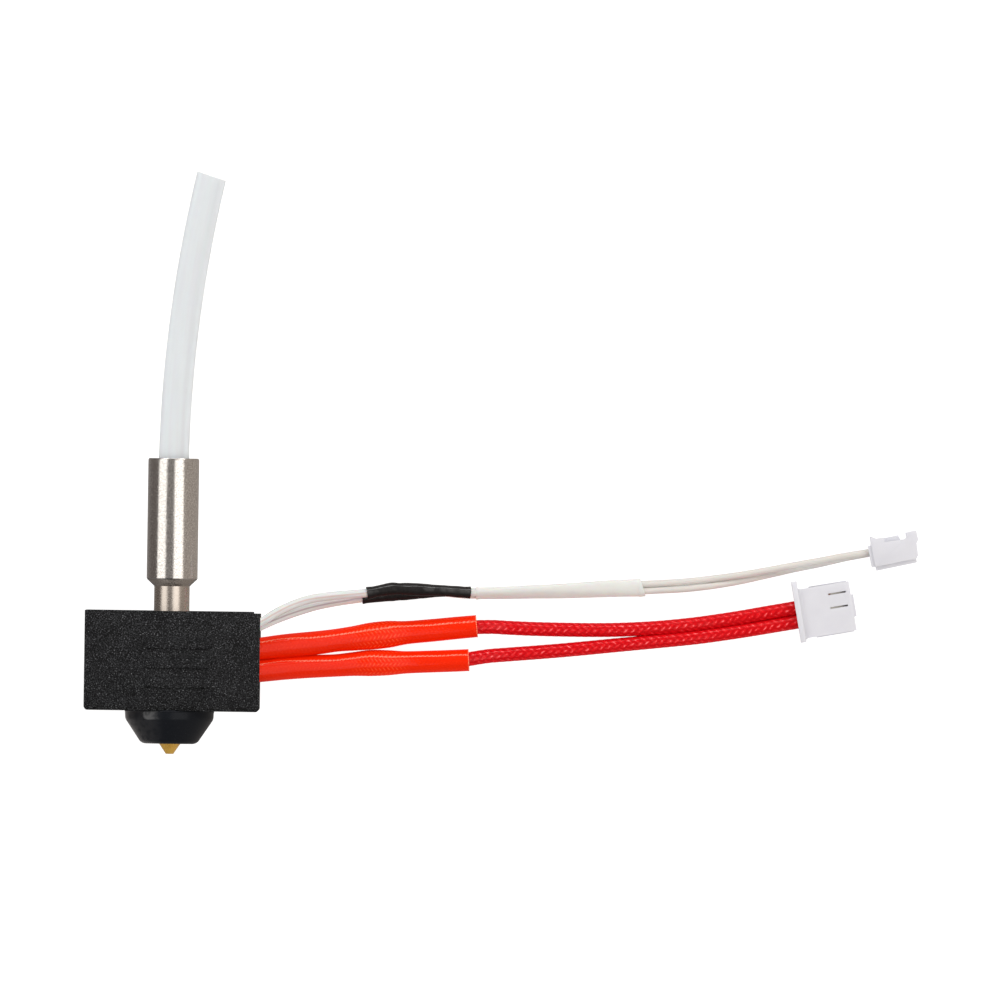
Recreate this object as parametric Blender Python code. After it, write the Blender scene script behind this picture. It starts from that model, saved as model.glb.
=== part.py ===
"""Hot end of a filament 3-D printer, lying on its back: heater block in a silicone sock, nozzle, heat break
with its PTFE liner, heater cartridge and thermistor, each with its two-wire lead and plug.

Frame: metres, +Z up. The sock's back rests on Z = 0. +Y runs up the heat break, away from the nozzle's tip,
and +X runs along the leads. The origin is on the resting plane, under the nozzle's axis, level with the
sock's middle.
"""

from math import cos, pi, radians, sin, sqrt

import bmesh
import bpy
from mathutils import Matrix, Vector

MM = 0.001

# Fits
SCREW_GAP = 0.15 * MM        # around a thread in its hole
CARTRIDGE_GAP = 0.10 * MM    # around the heater cartridge in the block
LINER_GAP = 0.08 * MM        # around the liner in the heat break
SOCK_GAP = 0.15 * MM         # between the sock and the metal it covers
FACE_GAP = 0.30 * MM         # between two pieces that meet end to end
SEATED_GAP = 0.05 * MM       # between a washer and what it is clamped to
OVERCUT = 1.0 * MM           # how far a cutter passes a face
SINK = 0.5 * MM              # how deep a joined shape is sunk in the one it joins
THREAD_CHAMFER = 0.30 * MM

# Silicone sock
SOCK_WALL_FRONT = 1.60 * MM
SOCK_WALL_BACK = 1.60 * MM
SOCK_WALL_LEFT = 1.35 * MM
SOCK_WALL_RIGHT = 1.70 * MM
SOCK_FLOOR = 1.30 * MM
SOCK_LIP = 0.35 * MM         # how far its walls stand above the block
SOCK_ROUND = 0.40 * MM
COLLAR_RADIUS = 5.83 * MM
COLLAR_FLANGE = 1.00 * MM
COLLAR_HEIGHT = 4.40 * MM
COLLAR_TIP_RADIUS = 3.95 * MM
COLLAR_TIP_ROUND = 0.45 * MM
LEAD_OPENING_EDGE = 1.0 * MM # sock left standing on each side of the leads' opening
GRIP_BARS = 3
GRIP_BAR_LENGTH = 9.0 * MM
GRIP_BAR_WIDTH = 1.40 * MM
GRIP_BAR_PITCH = 2.60 * MM
GRIP_BAR_RISE = 0.25 * MM
GRIP_BAR_ROUND = 0.63 * MM
GRIP_CENTRE = Vector((1.0 * MM, -0.3 * MM))

# Heater block, a bar of aluminium
BLOCK_LENGTH = 20.0 * MM     # along X
BLOCK_HEIGHT = 11.5 * MM     # along Y
BLOCK_DEPTH = 16.0 * MM      # along Z
BLOCK_BEVEL = 0.20 * MM
BORE_SPACING = 7.30 * MM     # from the cartridge's axis to the nozzle's
BORE_WALL = 1.35 * MM        # from the cartridge to the block's back face
BORE_HEIGHT = 5.405 * MM     # cartridge's axis above the block's underside

# Nozzle and heat break, on one axis along Y
THREAD_RADIUS = 3.0 * MM
NOZZLE_LENGTH = 13.0 * MM
NOZZLE_THREAD = 5.80 * MM
NOZZLE_HEX = 3.20 * MM       # height of the hexagon
NOZZLE_FLATS = 6.0 * MM      # across the hexagon's flats
NOZZLE_NECK = 0.40 * MM      # between the hexagon and the block
NOZZLE_SHOULDER = 0.20 * MM  # height of the step from the hexagon to the cone
NOZZLE_CONE_INSET = 0.06 * MM
NOZZLE_THROAT = 1.20 * MM    # length of the narrow bore behind the tip
NOZZLE_TIP_RADIUS = 0.50 * MM
NOZZLE_ORIFICE = 0.20 * MM
NOZZLE_BORE = 1.0 * MM
BREAK_RADIUS = 3.395 * MM
BREAK_NECK_WALL = 0.285 * MM
BREAK_NECK = 3.65 * MM       # neck that shows above the block
BREAK_TAPER = 0.94 * MM
BREAK_SHANK = 16.10 * MM
BREAK_THREAD_STOP = 0.40 * MM
BREAK_EDGE = 0.25 * MM

# PTFE liner
LINER_RADIUS = 2.0 * MM
LINER_BORE = 1.0 * MM
LINER_BURIED_BEND = 2.5 * MM  # how far inside the heat break its bend starts
LINER_BEND = 182.0 * MM
LINER_FREE = 38.0 * MM        # length past the heat break's mouth
LINER_ARCS = 12

# Heater cartridge, along X
CARTRIDGE_RADIUS = 3.0 * MM
CARTRIDGE_LENGTH = 19.8 * MM
CARTRIDGE_INSET = 0.10 * MM  # its mouth from the block's side
CARTRIDGE_CHAMFER = 0.30 * MM
CARTRIDGE_WALL = 0.35 * MM
CARTRIDGE_FLOOR = 0.60 * MM
CORE_SPACE = 0.75 * MM       # between the core and the shell, where the winding lies
CORE_LENGTH = 17.0 * MM
COIL_WIRE = 0.14 * MM
COIL_TURNS = 9
COIL_GAP = 0.10 * MM
COIL_MARGIN = 1.0 * MM       # bare core at each end of the winding
COIL_SIDES = 12
SEAL_LENGTH = 1.20 * MM
HEATER_LEAD_RADIUS = 0.50 * MM
HEATER_LEAD_SPREAD = 1.15 * MM
HEATER_LEAD_DEPTH = 0.60 * MM  # how far a lead reaches into the seal
HEATER_LEAD_STRAIGHT = 1.20 * MM

# Screws
SCREW_RADIUS = 1.50 * MM
GRUB_LENGTH = 2.60 * MM
GRUB_SOCKET = 0.75 * MM
GRUB_SOCKET_DEPTH = 1.30 * MM
SCREW_CUP = 0.35 * MM
GRUB_PLACE = -5.0 * MM         # along X
CLAMP_SCREW_LENGTH = 4.6 * MM
CLAMP_HEAD_RADIUS = 2.40 * MM
CLAMP_HEAD_HEIGHT = 1.10 * MM
CLAMP_SLOT = 0.60 * MM
CLAMP_SLOT_REACH = 1.49 * MM
CLAMP_SLOT_DEPTH = 0.66 * MM
WASHER_RADIUS = 2.70 * MM
WASHER_THICKNESS = 0.35 * MM
CLAMP_BELOW_TOP = 6.50 * MM    # screw's axis to the block's top face
BEAD_RADIUS = 0.85 * MM
BEAD_TAPER = 0.40 * MM
BEAD_LENGTH = 3.20 * MM
BEAD_HOLE_RADIUS = 1.15 * MM
BEAD_HOLE_DEPTH = 5.40 * MM
BEAD_BELOW_TOP = 2.0 * MM
BEAD_FROM_NOZZLE = 3.90 * MM   # along Z, from the nozzle's axis

# Leads
LEAD_SLEEVE_START = 12.2 * MM  # where a cartridge lead is centred in its sleeve, along X
HEATER_SPLICE_PLACE = 26.2 * MM
RED_WIRE_START = 38.6 * MM
SHRINK_COVER = 1.2 * MM        # length of ivory wire that follows the heat shrink's own line
RED_WIRE_RADIUS = 0.85 * MM
THERMISTOR_LEAD_RADIUS = 0.475 * MM
IVORY_WIRE_RADIUS = 0.425 * MM
ORANGE_WALL = 0.35 * MM
SHRINK_WALL = 0.20 * MM
WHITE_WALL = 0.12 * MM
HEATER_SPLICE_RADIUS = 1.15 * MM
HEATER_SPLICE_LENGTH = 4.4 * MM
THERMISTOR_SPLICE_RADIUS = 0.50 * MM
THERMISTOR_SPLICE_LENGTH = 3.0 * MM

# Heater plug, two pins wide, lying flat
HEATER_PLUG_PLACE = Vector((83.27 * MM, 7.63 * MM, 0.0))
HEATER_PLUG_TURN = radians(10.3)
HEATER_PLUG_FLANGE = Vector((0.73 * MM, 8.20 * MM, 5.60 * MM))
HEATER_PLUG_BODY = Vector((7.60 * MM, 6.60 * MM, 5.00 * MM))
HEATER_PLUG_OFFSET = -0.33 * MM    # body's middle from the flange's middle
HEATER_PLUG_NOSE = Vector((7.90 * MM, 3.00 * MM, 3.60 * MM))
HEATER_PLUG_CELL = Vector((6.20 * MM, 1.60 * MM, 2.40 * MM))
HEATER_PLUG_CELL_START = 1.93 * MM
HEATER_PLUG_CELL_HEIGHT = 2.45 * MM    # cells' middle above the resting plane
HEATER_PLUG_CELL_PITCH = 1.85 * MM
HEATER_PLUG_ENTRY_GAP = 0.06 * MM      # around a wire in the housing
HEATER_TERMINAL_SHORT = 0.80 * MM      # how far a terminal stays inside the nose
HEATER_TERMINAL_SOCKET = 3.20 * MM     # where a terminal's socket starts
TERMINAL_GAP = 0.12 * MM               # around a terminal in its cell
HEATER_PLUG_SLOT = Vector((2.25 * MM, 0.32 * MM))
HEATER_PLUG_SLOT_START = 4.80 * MM

# Thermistor plug, two pins wide, standing on its narrow side
SENSOR_PLUG_PLACE = Vector((92.90 * MM, 15.70 * MM, 0.0))
SENSOR_PLUG_TURN = radians(12.4)
SENSOR_PLUG_WIDTH = 5.80 * MM      # along Z
SENSOR_PLUG_PITCH = 2.0 * MM
SENSOR_PLUG_CELL = Vector((5.20 * MM, 1.70 * MM, 1.50 * MM))
SENSOR_PLUG_CELL_START = 1.60 * MM
SENSOR_PLUG_ENTRY_GAP = 0.12 * MM
SENSOR_TERMINAL_SOCKET = 2.0 * MM
SENSOR_TERMINAL_REACH = 0.40 * MM      # how far a terminal passes its cell's own length
ENTRY_OVERLAP = 0.20 * MM              # between a wire's entry hole and its cell

# Places that follow from the sizes above
SOCK_HEIGHT = SOCK_FLOOR + SOCK_GAP + BLOCK_HEIGHT + SOCK_LIP
SOCK_DEPTH = SOCK_WALL_BACK + BLOCK_DEPTH + 2 * SOCK_GAP + SOCK_WALL_FRONT
BLOCK_BOTTOM = -SOCK_HEIGHT / 2 + SOCK_FLOOR + SOCK_GAP
BLOCK_TOP = BLOCK_BOTTOM + BLOCK_HEIGHT
BLOCK_BACK = SOCK_WALL_BACK + SOCK_GAP
BLOCK_SIDE = BLOCK_LENGTH / 2
CARTRIDGE_Y = BLOCK_BOTTOM + BORE_HEIGHT
CARTRIDGE_MOUTH = BLOCK_SIDE - CARTRIDGE_INSET
CORE_RADIUS = CARTRIDGE_RADIUS - CARTRIDGE_WALL - CORE_SPACE
CARTRIDGE_Z = BLOCK_BACK + BORE_WALL + CARTRIDGE_RADIUS
AXIS_Z = CARTRIDGE_Z + BORE_SPACING
NOZZLE_TOP = BLOCK_BOTTOM + NOZZLE_THREAD
BREAK_BOTTOM = NOZZLE_TOP + FACE_GAP
BREAK_TOP = BLOCK_TOP + BREAK_NECK + BREAK_TAPER + BREAK_SHANK
BREAK_BORE = LINER_RADIUS + LINER_GAP
BREAK_NECK_RADIUS = BREAK_BORE + BREAK_NECK_WALL
NOZZLE_TIP = NOZZLE_TOP - NOZZLE_LENGTH
BEAD_Y = BLOCK_TOP - BEAD_BELOW_TOP
BEAD_Z = AXIS_Z - BEAD_FROM_NOZZLE


# ---- Blender helpers ----

def clear_scene():
    for thing in list(bpy.data.objects):
        bpy.data.objects.remove(thing, do_unlink=True)


def finish(name, colour, roughness, metallic):
    """A plain material for one piece."""
    material = bpy.data.materials.new(name)
    material.use_nodes = True
    shader = material.node_tree.nodes["Principled BSDF"]
    shader.inputs["Base Color"].default_value = (*colour, 1.0)
    shader.inputs["Roughness"].default_value = roughness
    shader.inputs["Metallic"].default_value = metallic
    return material


def add(name, bm, material=None, parent=None):
    """Turns a bmesh into a named object, shaded smooth with its hard edges kept."""
    bmesh.ops.recalc_face_normals(bm, faces=bm.faces)
    mesh = bpy.data.meshes.new(name)
    bm.to_mesh(mesh)
    bm.free()
    mesh.shade_smooth()
    mesh.set_sharp_from_angle(angle=radians(30))
    thing = bpy.data.objects.new(name, mesh)
    bpy.context.scene.collection.objects.link(thing)
    thing.parent = parent
    if material:
        mesh.materials.append(material)
    return thing


def helper(thing):
    """Marks an object as a cutter or a joined shape, which is not a piece by itself."""
    thing.hide_render = True
    thing.display_type = "WIRE"
    return thing


def combine(thing, other, operation="DIFFERENCE"):
    modifier = thing.modifiers.new(other.name, "BOOLEAN")
    modifier.operation = operation
    modifier.solver = "EXACT"
    modifier.object = helper(other)


def empty(name, place, turn=None):
    marker = bpy.data.objects.new(name, None)
    marker.matrix_world = Matrix.Translation(place) @ (turn or Matrix.Identity(4))
    bpy.context.scene.collection.objects.link(marker)
    return marker


def box(name, low, high, material=None, parent=None, bevel=0.0, choose=None):
    """A block between two corners, with the edges that choose() picks rounded."""
    bm = bmesh.new()
    low, high = Vector(low), Vector(high)
    size = Matrix.Diagonal((*(high - low), 1.0))
    bmesh.ops.create_cube(bm, size=1.0, matrix=Matrix.Translation((low + high) / 2) @ size)
    if bevel:
        edges = [edge for edge in bm.edges if choose is None or choose(edge)]
        bmesh.ops.bevel(bm, geom=edges, offset=bevel, segments=2 if choose else 1, profile=0.5,
                        affect="EDGES", material=-1)
    return add(name, bm, material, parent)


def turned(name, profile, material=None, parent=None, sides=32):
    """Spins an outline of (radius, height) points about the parent's Z axis. The outline closes on itself,
    or starts and ends on the axis."""
    bm = bmesh.new()
    corners = [bm.verts.new((radius, 0.0, height)) for radius, height in profile]
    pairs = list(zip(corners, corners[1:]))
    if profile[0][0] > 0:
        pairs.append((corners[-1], corners[0]))
    edges = [bm.edges.new(pair) for pair in pairs]
    bmesh.ops.spin(bm, geom=corners + edges, cent=(0, 0, 0), axis=(0, 0, 1), angle=2 * pi, steps=sides,
                   use_merge=True)
    bmesh.ops.remove_doubles(bm, verts=bm.verts, dist=1e-7)
    return add(name, bm, material, parent)


def cylinder(name, radius, bottom, top, material=None, parent=None, sides=32):
    return turned(name, [(0, bottom), (radius, bottom), (radius, top), (0, top)], material, parent, sides)


def smooth_route(points, step):
    """Points about one step apart on the smooth curve through a route's own points. A point may carry more
    numbers after its place, and they follow it."""
    rows = [tuple(point) for point in points]
    rows = [rows[0], *rows, rows[-1]]
    route = []
    for before, start, end, after in zip(rows, rows[1:], rows[2:], rows[3:]):
        span = sqrt(sum((b - a) ** 2 for a, b in zip(start[:3], end[:3])))
        pieces = max(1, round(span / step))
        for piece in range(pieces):
            t = piece / pieces
            route.append(tuple(
                0.5 * (2 * b + (c - a) * t + (2 * a - 5 * b + 4 * c - d) * t ** 2
                       + (3 * b - a - 3 * c + d) * t ** 3)
                for a, b, c, d in zip(before, start, end, after)))
    route.append(rows[-1])
    return route


def in_mm(rows):
    return [tuple(value * MM for value in row) for row in rows]


def cord(name, route, radius, material, spacing=2.4, resolution=2):
    """A tube with capped ends along a route."""
    points = smooth_route(route, spacing * 2 * radius)
    curve = bpy.data.curves.new(name, "CURVE")
    curve.dimensions = "3D"
    curve.bevel_depth = radius
    curve.bevel_resolution = resolution
    curve.use_fill_caps = True
    curve.materials.append(material)
    spline = curve.splines.new("POLY")
    spline.points.add(len(points) - 1)
    for knot, point in zip(spline.points, points):
        knot.co = (*point, 1.0)
    thing = bpy.data.objects.new(name, curve)
    bpy.context.scene.collection.objects.link(thing)
    return thing


def sleeve(name, stations, wall, material, step=2.2 * MM, sides=16):
    """A tube through stations of (x, y, z, half width, half height, roll in degrees). Its wall grows
    inwards."""
    rings = smooth_route(stations, step)
    bm = bmesh.new()
    loops = []
    for at, ring in enumerate(rings):
        ahead = Vector(rings[min(at + 1, len(rings) - 1)][:3]) - Vector(rings[max(at - 1, 0)][:3])
        ahead.normalize()
        side = Vector((0, 0, 1)).cross(ahead).normalized()
        turn = Matrix((side, ahead.cross(side), ahead)).transposed().to_4x4()
        place = Matrix.Translation(ring[:3]) @ turn @ Matrix.Rotation(radians(ring[5] / MM), 4, "Z")
        made = bmesh.ops.create_circle(bm, segments=sides, radius=1.0,
                                       matrix=place @ Matrix.Diagonal((ring[3], ring[4], 1.0, 1.0)))
        loops.append(list({edge for vert in made["verts"] for edge in vert.link_edges}))
    for first, second in zip(loops, loops[1:]):
        bmesh.ops.bridge_loops(bm, edges=first + second)
    thing = add(name, bm, material)
    solidify = thing.modifiers.new("wall", "SOLIDIFY")
    solidify.thickness = wall
    solidify.offset = -1.0
    return thing


def barrel(name, start, end, radius, material, sides=12):
    """A short round piece between two points."""
    start, end = Vector(start), Vector(end)
    marker = empty(name + "_axis", start, (end - start).to_track_quat("Z", "Y").to_matrix().to_4x4())
    length = (end - start).length
    edge = radius * 0.25
    profile = [(0, 0), (radius - edge, 0), (radius, edge), (radius, length - edge), (radius - edge, length),
               (0, length)]
    return turned(name, profile, material, marker, sides)


def outline(name, points, low, high, material, parent):
    """An outline in X and Y, raised from one height to another."""
    bm = bmesh.new()
    face = bm.faces.new([bm.verts.new((x, y, low)) for x, y in points])
    raised = bmesh.ops.extrude_face_region(bm, geom=[face])
    verts = [part for part in raised["geom"] if isinstance(part, bmesh.types.BMVert)]
    bmesh.ops.translate(bm, verts=verts, vec=(0, 0, high - low))
    return add(name, bm, material, parent)


# ---- Body of the hot end ----

def make_axes():
    """Axes that turned pieces are modelled along: each one's own Z runs along the real axis."""
    upright = Matrix.Rotation(-pi / 2, 4, "X")
    sideways = Matrix.Rotation(pi / 2, 4, "Y")
    return {
        "nozzle": empty("nozzle_axis", (0, 0, AXIS_Z), upright),
        "cartridge": empty("cartridge_axis", (0, CARTRIDGE_Y, CARTRIDGE_Z), sideways),
        "grub": empty("grub_screw_axis", (GRUB_PLACE, 0, CARTRIDGE_Z), upright),
        "bead": empty("thermistor_axis", (0, BEAD_Y, BEAD_Z), sideways),
        "clamp": empty("clamp_screw_axis", (0, BLOCK_TOP - CLAMP_BELOW_TOP, AXIS_Z), sideways),
    }


def make_block(axes):
    """Aluminium bar, drilled through for the nozzle and the cartridge, with two screw holes and a bead
    hole."""
    low = (-BLOCK_SIDE, BLOCK_BOTTOM, BLOCK_BACK)
    high = (BLOCK_SIDE, BLOCK_TOP, BLOCK_BACK + BLOCK_DEPTH)
    aluminium = finish("aluminium", (0.78, 0.79, 0.80), 0.35, 1.0)
    block = box("heater_block", low, high, aluminium, None, BLOCK_BEVEL)
    combine(block, cylinder("nozzle_hole", THREAD_RADIUS + SCREW_GAP, BLOCK_BOTTOM - OVERCUT,
                            BLOCK_TOP + OVERCUT, parent=axes["nozzle"]))
    combine(block, cylinder("cartridge_hole", CARTRIDGE_RADIUS + CARTRIDGE_GAP, -BLOCK_SIDE - OVERCUT,
                            BLOCK_SIDE + OVERCUT, parent=axes["cartridge"]))
    combine(block, cylinder("grub_hole", SCREW_RADIUS + SCREW_GAP, CARTRIDGE_Y, BLOCK_TOP + OVERCUT,
                            parent=axes["grub"], sides=24))
    combine(block, cylinder("bead_hole", BEAD_HOLE_RADIUS, BLOCK_SIDE - BEAD_HOLE_DEPTH,
                            BLOCK_SIDE + OVERCUT, parent=axes["bead"], sides=20))
    combine(block, cylinder("clamp_hole", SCREW_RADIUS + SCREW_GAP,
                            BLOCK_SIDE - CLAMP_SCREW_LENGTH - FACE_GAP, BLOCK_SIDE + OVERCUT,
                            parent=axes["clamp"], sides=24))


def make_nozzle(axis):
    """Brass nozzle: a thread, a hexagon for the spanner and a cone. Its bore narrows to the orifice."""
    brass = finish("brass", (0.62, 0.46, 0.16), 0.28, 1.0)
    hex_top = BLOCK_BOTTOM - NOZZLE_NECK
    hex_bottom = hex_top - NOZZLE_HEX
    inscribed = NOZZLE_FLATS / 2
    neck = THREAD_RADIUS - THREAD_CHAMFER
    body = turned("nozzle", [
        (0, NOZZLE_TOP), (neck, NOZZLE_TOP), (THREAD_RADIUS, NOZZLE_TOP - THREAD_CHAMFER),
        (THREAD_RADIUS, BLOCK_BOTTOM), (neck, BLOCK_BOTTOM), (neck, hex_bottom + NOZZLE_SHOULDER),
        (inscribed - NOZZLE_CONE_INSET, hex_bottom), (NOZZLE_TIP_RADIUS, NOZZLE_TIP), (0, NOZZLE_TIP)],
        brass, axis, 36)
    bm = bmesh.new()
    middle = Matrix.Translation((0, 0, (hex_top + hex_bottom) / 2))
    corner = inscribed / cos(pi / 6)
    bmesh.ops.create_cone(bm, cap_ends=True, segments=6, radius1=corner, radius2=corner, depth=NOZZLE_HEX,
                          matrix=middle)
    combine(body, add("nozzle_hexagon", bm, parent=axis), "UNION")
    narrow = NOZZLE_TIP + NOZZLE_THROAT
    combine(body, turned("nozzle_bore", [
        (0, NOZZLE_TOP + OVERCUT), (NOZZLE_BORE, NOZZLE_TOP + OVERCUT), (NOZZLE_BORE, narrow + NOZZLE_BORE),
        (NOZZLE_ORIFICE, narrow), (NOZZLE_ORIFICE, NOZZLE_TIP - OVERCUT), (0, NOZZLE_TIP - OVERCUT)],
        None, axis, 16))


def make_heat_break(axis):
    """Stainless tube: a thick shank for the heat sink, a thin neck and a thread into the block."""
    steel = finish("stainless", (0.55, 0.52, 0.48), 0.30, 1.0)
    thread_top = BLOCK_TOP - BREAK_THREAD_STOP
    shank_bottom = BREAK_TOP - BREAK_SHANK
    taper_bottom = shank_bottom - BREAK_TAPER
    turned("heat_break", [
        (BREAK_BORE, BREAK_BOTTOM), (THREAD_RADIUS - THREAD_CHAMFER, BREAK_BOTTOM),
        (THREAD_RADIUS, BREAK_BOTTOM + THREAD_CHAMFER), (THREAD_RADIUS, thread_top - THREAD_CHAMFER),
        (BREAK_NECK_RADIUS, thread_top), (BREAK_NECK_RADIUS, taper_bottom), (BREAK_RADIUS, shank_bottom),
        (BREAK_RADIUS, BREAK_TOP - BREAK_EDGE), (BREAK_RADIUS - BREAK_EDGE, BREAK_TOP),
        (BREAK_BORE + BREAK_EDGE, BREAK_TOP), (BREAK_BORE, BREAK_TOP - BREAK_EDGE)], steel, axis, 48)


def make_liner():
    """PTFE tube that feeds the filament down to the nozzle. It is straight in the heat break and bends
    above it."""
    ptfe = finish("ptfe", (0.86, 0.87, 0.88), 0.35, 0.0)
    bend_start = BREAK_TOP - LINER_BURIED_BEND
    stations = [(0, BREAK_BOTTOM), (0, (BREAK_BOTTOM + bend_start) / 2), (0, bend_start)]
    sweep = (LINER_FREE + LINER_BURIED_BEND) / LINER_BEND
    for step in range(1, LINER_ARCS + 1):
        angle = sweep * step / LINER_ARCS
        stations.append((LINER_BEND * (1 - cos(angle)), bend_start + LINER_BEND * sin(angle)))
    rows = [(x, y, AXIS_Z, LINER_RADIUS, LINER_RADIUS, 0) for x, y in stations]
    sleeve("ptfe_tube", rows, LINER_RADIUS - LINER_BORE, ptfe, step=20 * MM, sides=24)


def make_sock(axis):
    """Silicone boot pushed on over the nozzle: open at the top, cut away at the right for the leads."""
    rubber = finish("silicone", (0.018, 0.018, 0.020), 0.55, 0.0)
    left = -BLOCK_SIDE - SOCK_GAP - SOCK_WALL_LEFT
    right = BLOCK_SIDE + SOCK_GAP + SOCK_WALL_RIGHT
    bottom, top = -SOCK_HEIGHT / 2, SOCK_HEIGHT / 2

    def low_edge(edge):
        return all(vert.co.y < 0 for vert in edge.verts)

    sock = box("silicone_sock", (left, bottom, 0), (right, top, SOCK_DEPTH), rubber, None, SOCK_ROUND,
               low_edge)
    tip = bottom - COLLAR_HEIGHT
    curve = COLLAR_TIP_ROUND
    combine(sock, turned("sock_collar", [
        (0, bottom + SINK), (COLLAR_RADIUS, bottom + SINK), (COLLAR_RADIUS, bottom - COLLAR_FLANGE),
        (COLLAR_TIP_RADIUS + curve * 0.4, tip + curve),
        (COLLAR_TIP_RADIUS - curve * 0.3, tip + curve * 0.3),
        (COLLAR_TIP_RADIUS - curve, tip), (0, tip)], None, axis, 40), "UNION")
    for bar in range(GRIP_BARS):
        middle = GRIP_CENTRE.y + (bar - (GRIP_BARS - 1) / 2) * GRIP_BAR_PITCH
        half = Vector((GRIP_BAR_LENGTH / 2, GRIP_BAR_WIDTH / 2))
        low = (GRIP_CENTRE.x - half.x, middle - half.y, SOCK_DEPTH - SINK)
        high = (GRIP_CENTRE.x + half.x, middle + half.y, SOCK_DEPTH + GRIP_BAR_RISE)
        shape = box(f"grip_bar_{bar + 1}", low, high, None, None, GRIP_BAR_ROUND,
                    lambda edge: edge.verts[0].co.z != edge.verts[1].co.z)
        combine(sock, shape, "UNION")
    gap = Vector((SOCK_GAP, SOCK_GAP, SOCK_GAP))
    low = Vector((-BLOCK_SIDE, BLOCK_BOTTOM, BLOCK_BACK)) - gap
    high = Vector((BLOCK_SIDE, top + OVERCUT, BLOCK_BACK + BLOCK_DEPTH)) + gap
    combine(sock, box("block_space", low, high))
    hex_bottom = BLOCK_BOTTOM - NOZZLE_NECK - NOZZLE_HEX
    hex_radius = NOZZLE_FLATS / 2 / cos(pi / 6) + SOCK_GAP
    slope = (NOZZLE_FLATS / 2 - NOZZLE_TIP_RADIUS) / (hex_bottom - NOZZLE_TIP)
    mouth = NOZZLE_TIP_RADIUS + slope * (tip - NOZZLE_TIP) + SOCK_GAP
    combine(sock, turned("nozzle_space", [
        (0, BLOCK_BOTTOM + SINK), (hex_radius, BLOCK_BOTTOM + SINK), (hex_radius, hex_bottom - SOCK_GAP),
        (mouth, tip), (mouth, tip - OVERCUT), (0, tip - OVERCUT)], None, axis, 32))
    wire_low = (BLOCK_SIDE - OVERCUT, BLOCK_BOTTOM + SOCK_FLOOR, BLOCK_BACK + LEAD_OPENING_EDGE)
    wire_high = (right + OVERCUT, top + OVERCUT, BLOCK_BACK + BLOCK_DEPTH - LEAD_OPENING_EDGE)
    combine(sock, box("lead_opening", wire_low, wire_high))


# ---- Heater and sensor inside the block ----

def make_cartridge(axis):
    """Steel shell, closed at the far end, with a wound ceramic core and a ceramic seal that the leads
    pass."""
    steel = finish("cartridge_steel", (0.50, 0.49, 0.47), 0.35, 1.0)
    ceramic = finish("ceramic", (0.85, 0.83, 0.78), 0.6, 0.0)
    mouth = CARTRIDGE_MOUTH
    back = mouth - CARTRIDGE_LENGTH
    inside = CARTRIDGE_RADIUS - CARTRIDGE_WALL
    turned("cartridge_shell", [
        (0, back), (CARTRIDGE_RADIUS - CARTRIDGE_CHAMFER, back),
        (CARTRIDGE_RADIUS, back + CARTRIDGE_CHAMFER),
        (CARTRIDGE_RADIUS, mouth), (inside, mouth), (inside, back + CARTRIDGE_FLOOR),
        (0, back + CARTRIDGE_FLOOR)], steel, axis, 32)
    core_start = back + CARTRIDGE_FLOOR + FACE_GAP
    cylinder("cartridge_core", CORE_RADIUS, core_start, core_start + CORE_LENGTH, ceramic, axis, 20)
    seal_end = mouth - CARTRIDGE_GAP
    seal_start = seal_end - SEAL_LENGTH
    seal = cylinder("cartridge_seal", inside - CARTRIDGE_GAP, seal_start, seal_end, ceramic, axis, 28)
    for side in (-1, 1):
        hole = cylinder(f"seal_hole_{side}", HEATER_LEAD_RADIUS + CARTRIDGE_GAP, seal_start - OVERCUT,
                        seal_end + OVERCUT, None, axis, 12)
        hole.location = (0, side * HEATER_LEAD_SPREAD, 0)
        combine(seal, hole)
    return seal_end


def make_coil():
    """Resistance wire wound round the core."""
    radius = CORE_RADIUS + COIL_GAP + COIL_WIRE
    start = CARTRIDGE_MOUTH - CARTRIDGE_LENGTH + CARTRIDGE_FLOOR + FACE_GAP + COIL_MARGIN
    length = CORE_LENGTH - 2 * COIL_MARGIN
    curve = bpy.data.curves.new("cartridge_coil", "CURVE")
    curve.dimensions = "3D"
    curve.bevel_depth = COIL_WIRE
    curve.bevel_resolution = 0
    curve.use_fill_caps = True
    curve.materials.append(finish("resistance_wire", (0.35, 0.33, 0.31), 0.45, 1.0))
    spline = curve.splines.new("POLY")
    count = COIL_TURNS * COIL_SIDES
    spline.points.add(count)
    for at, knot in enumerate(spline.points):
        angle = 2 * pi * at / COIL_SIDES
        knot.co = (start + length * at / count, CARTRIDGE_Y + radius * cos(angle),
                   CARTRIDGE_Z + radius * sin(angle), 1.0)
    bpy.context.scene.collection.objects.link(bpy.data.objects.new("cartridge_coil", curve))


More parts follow.
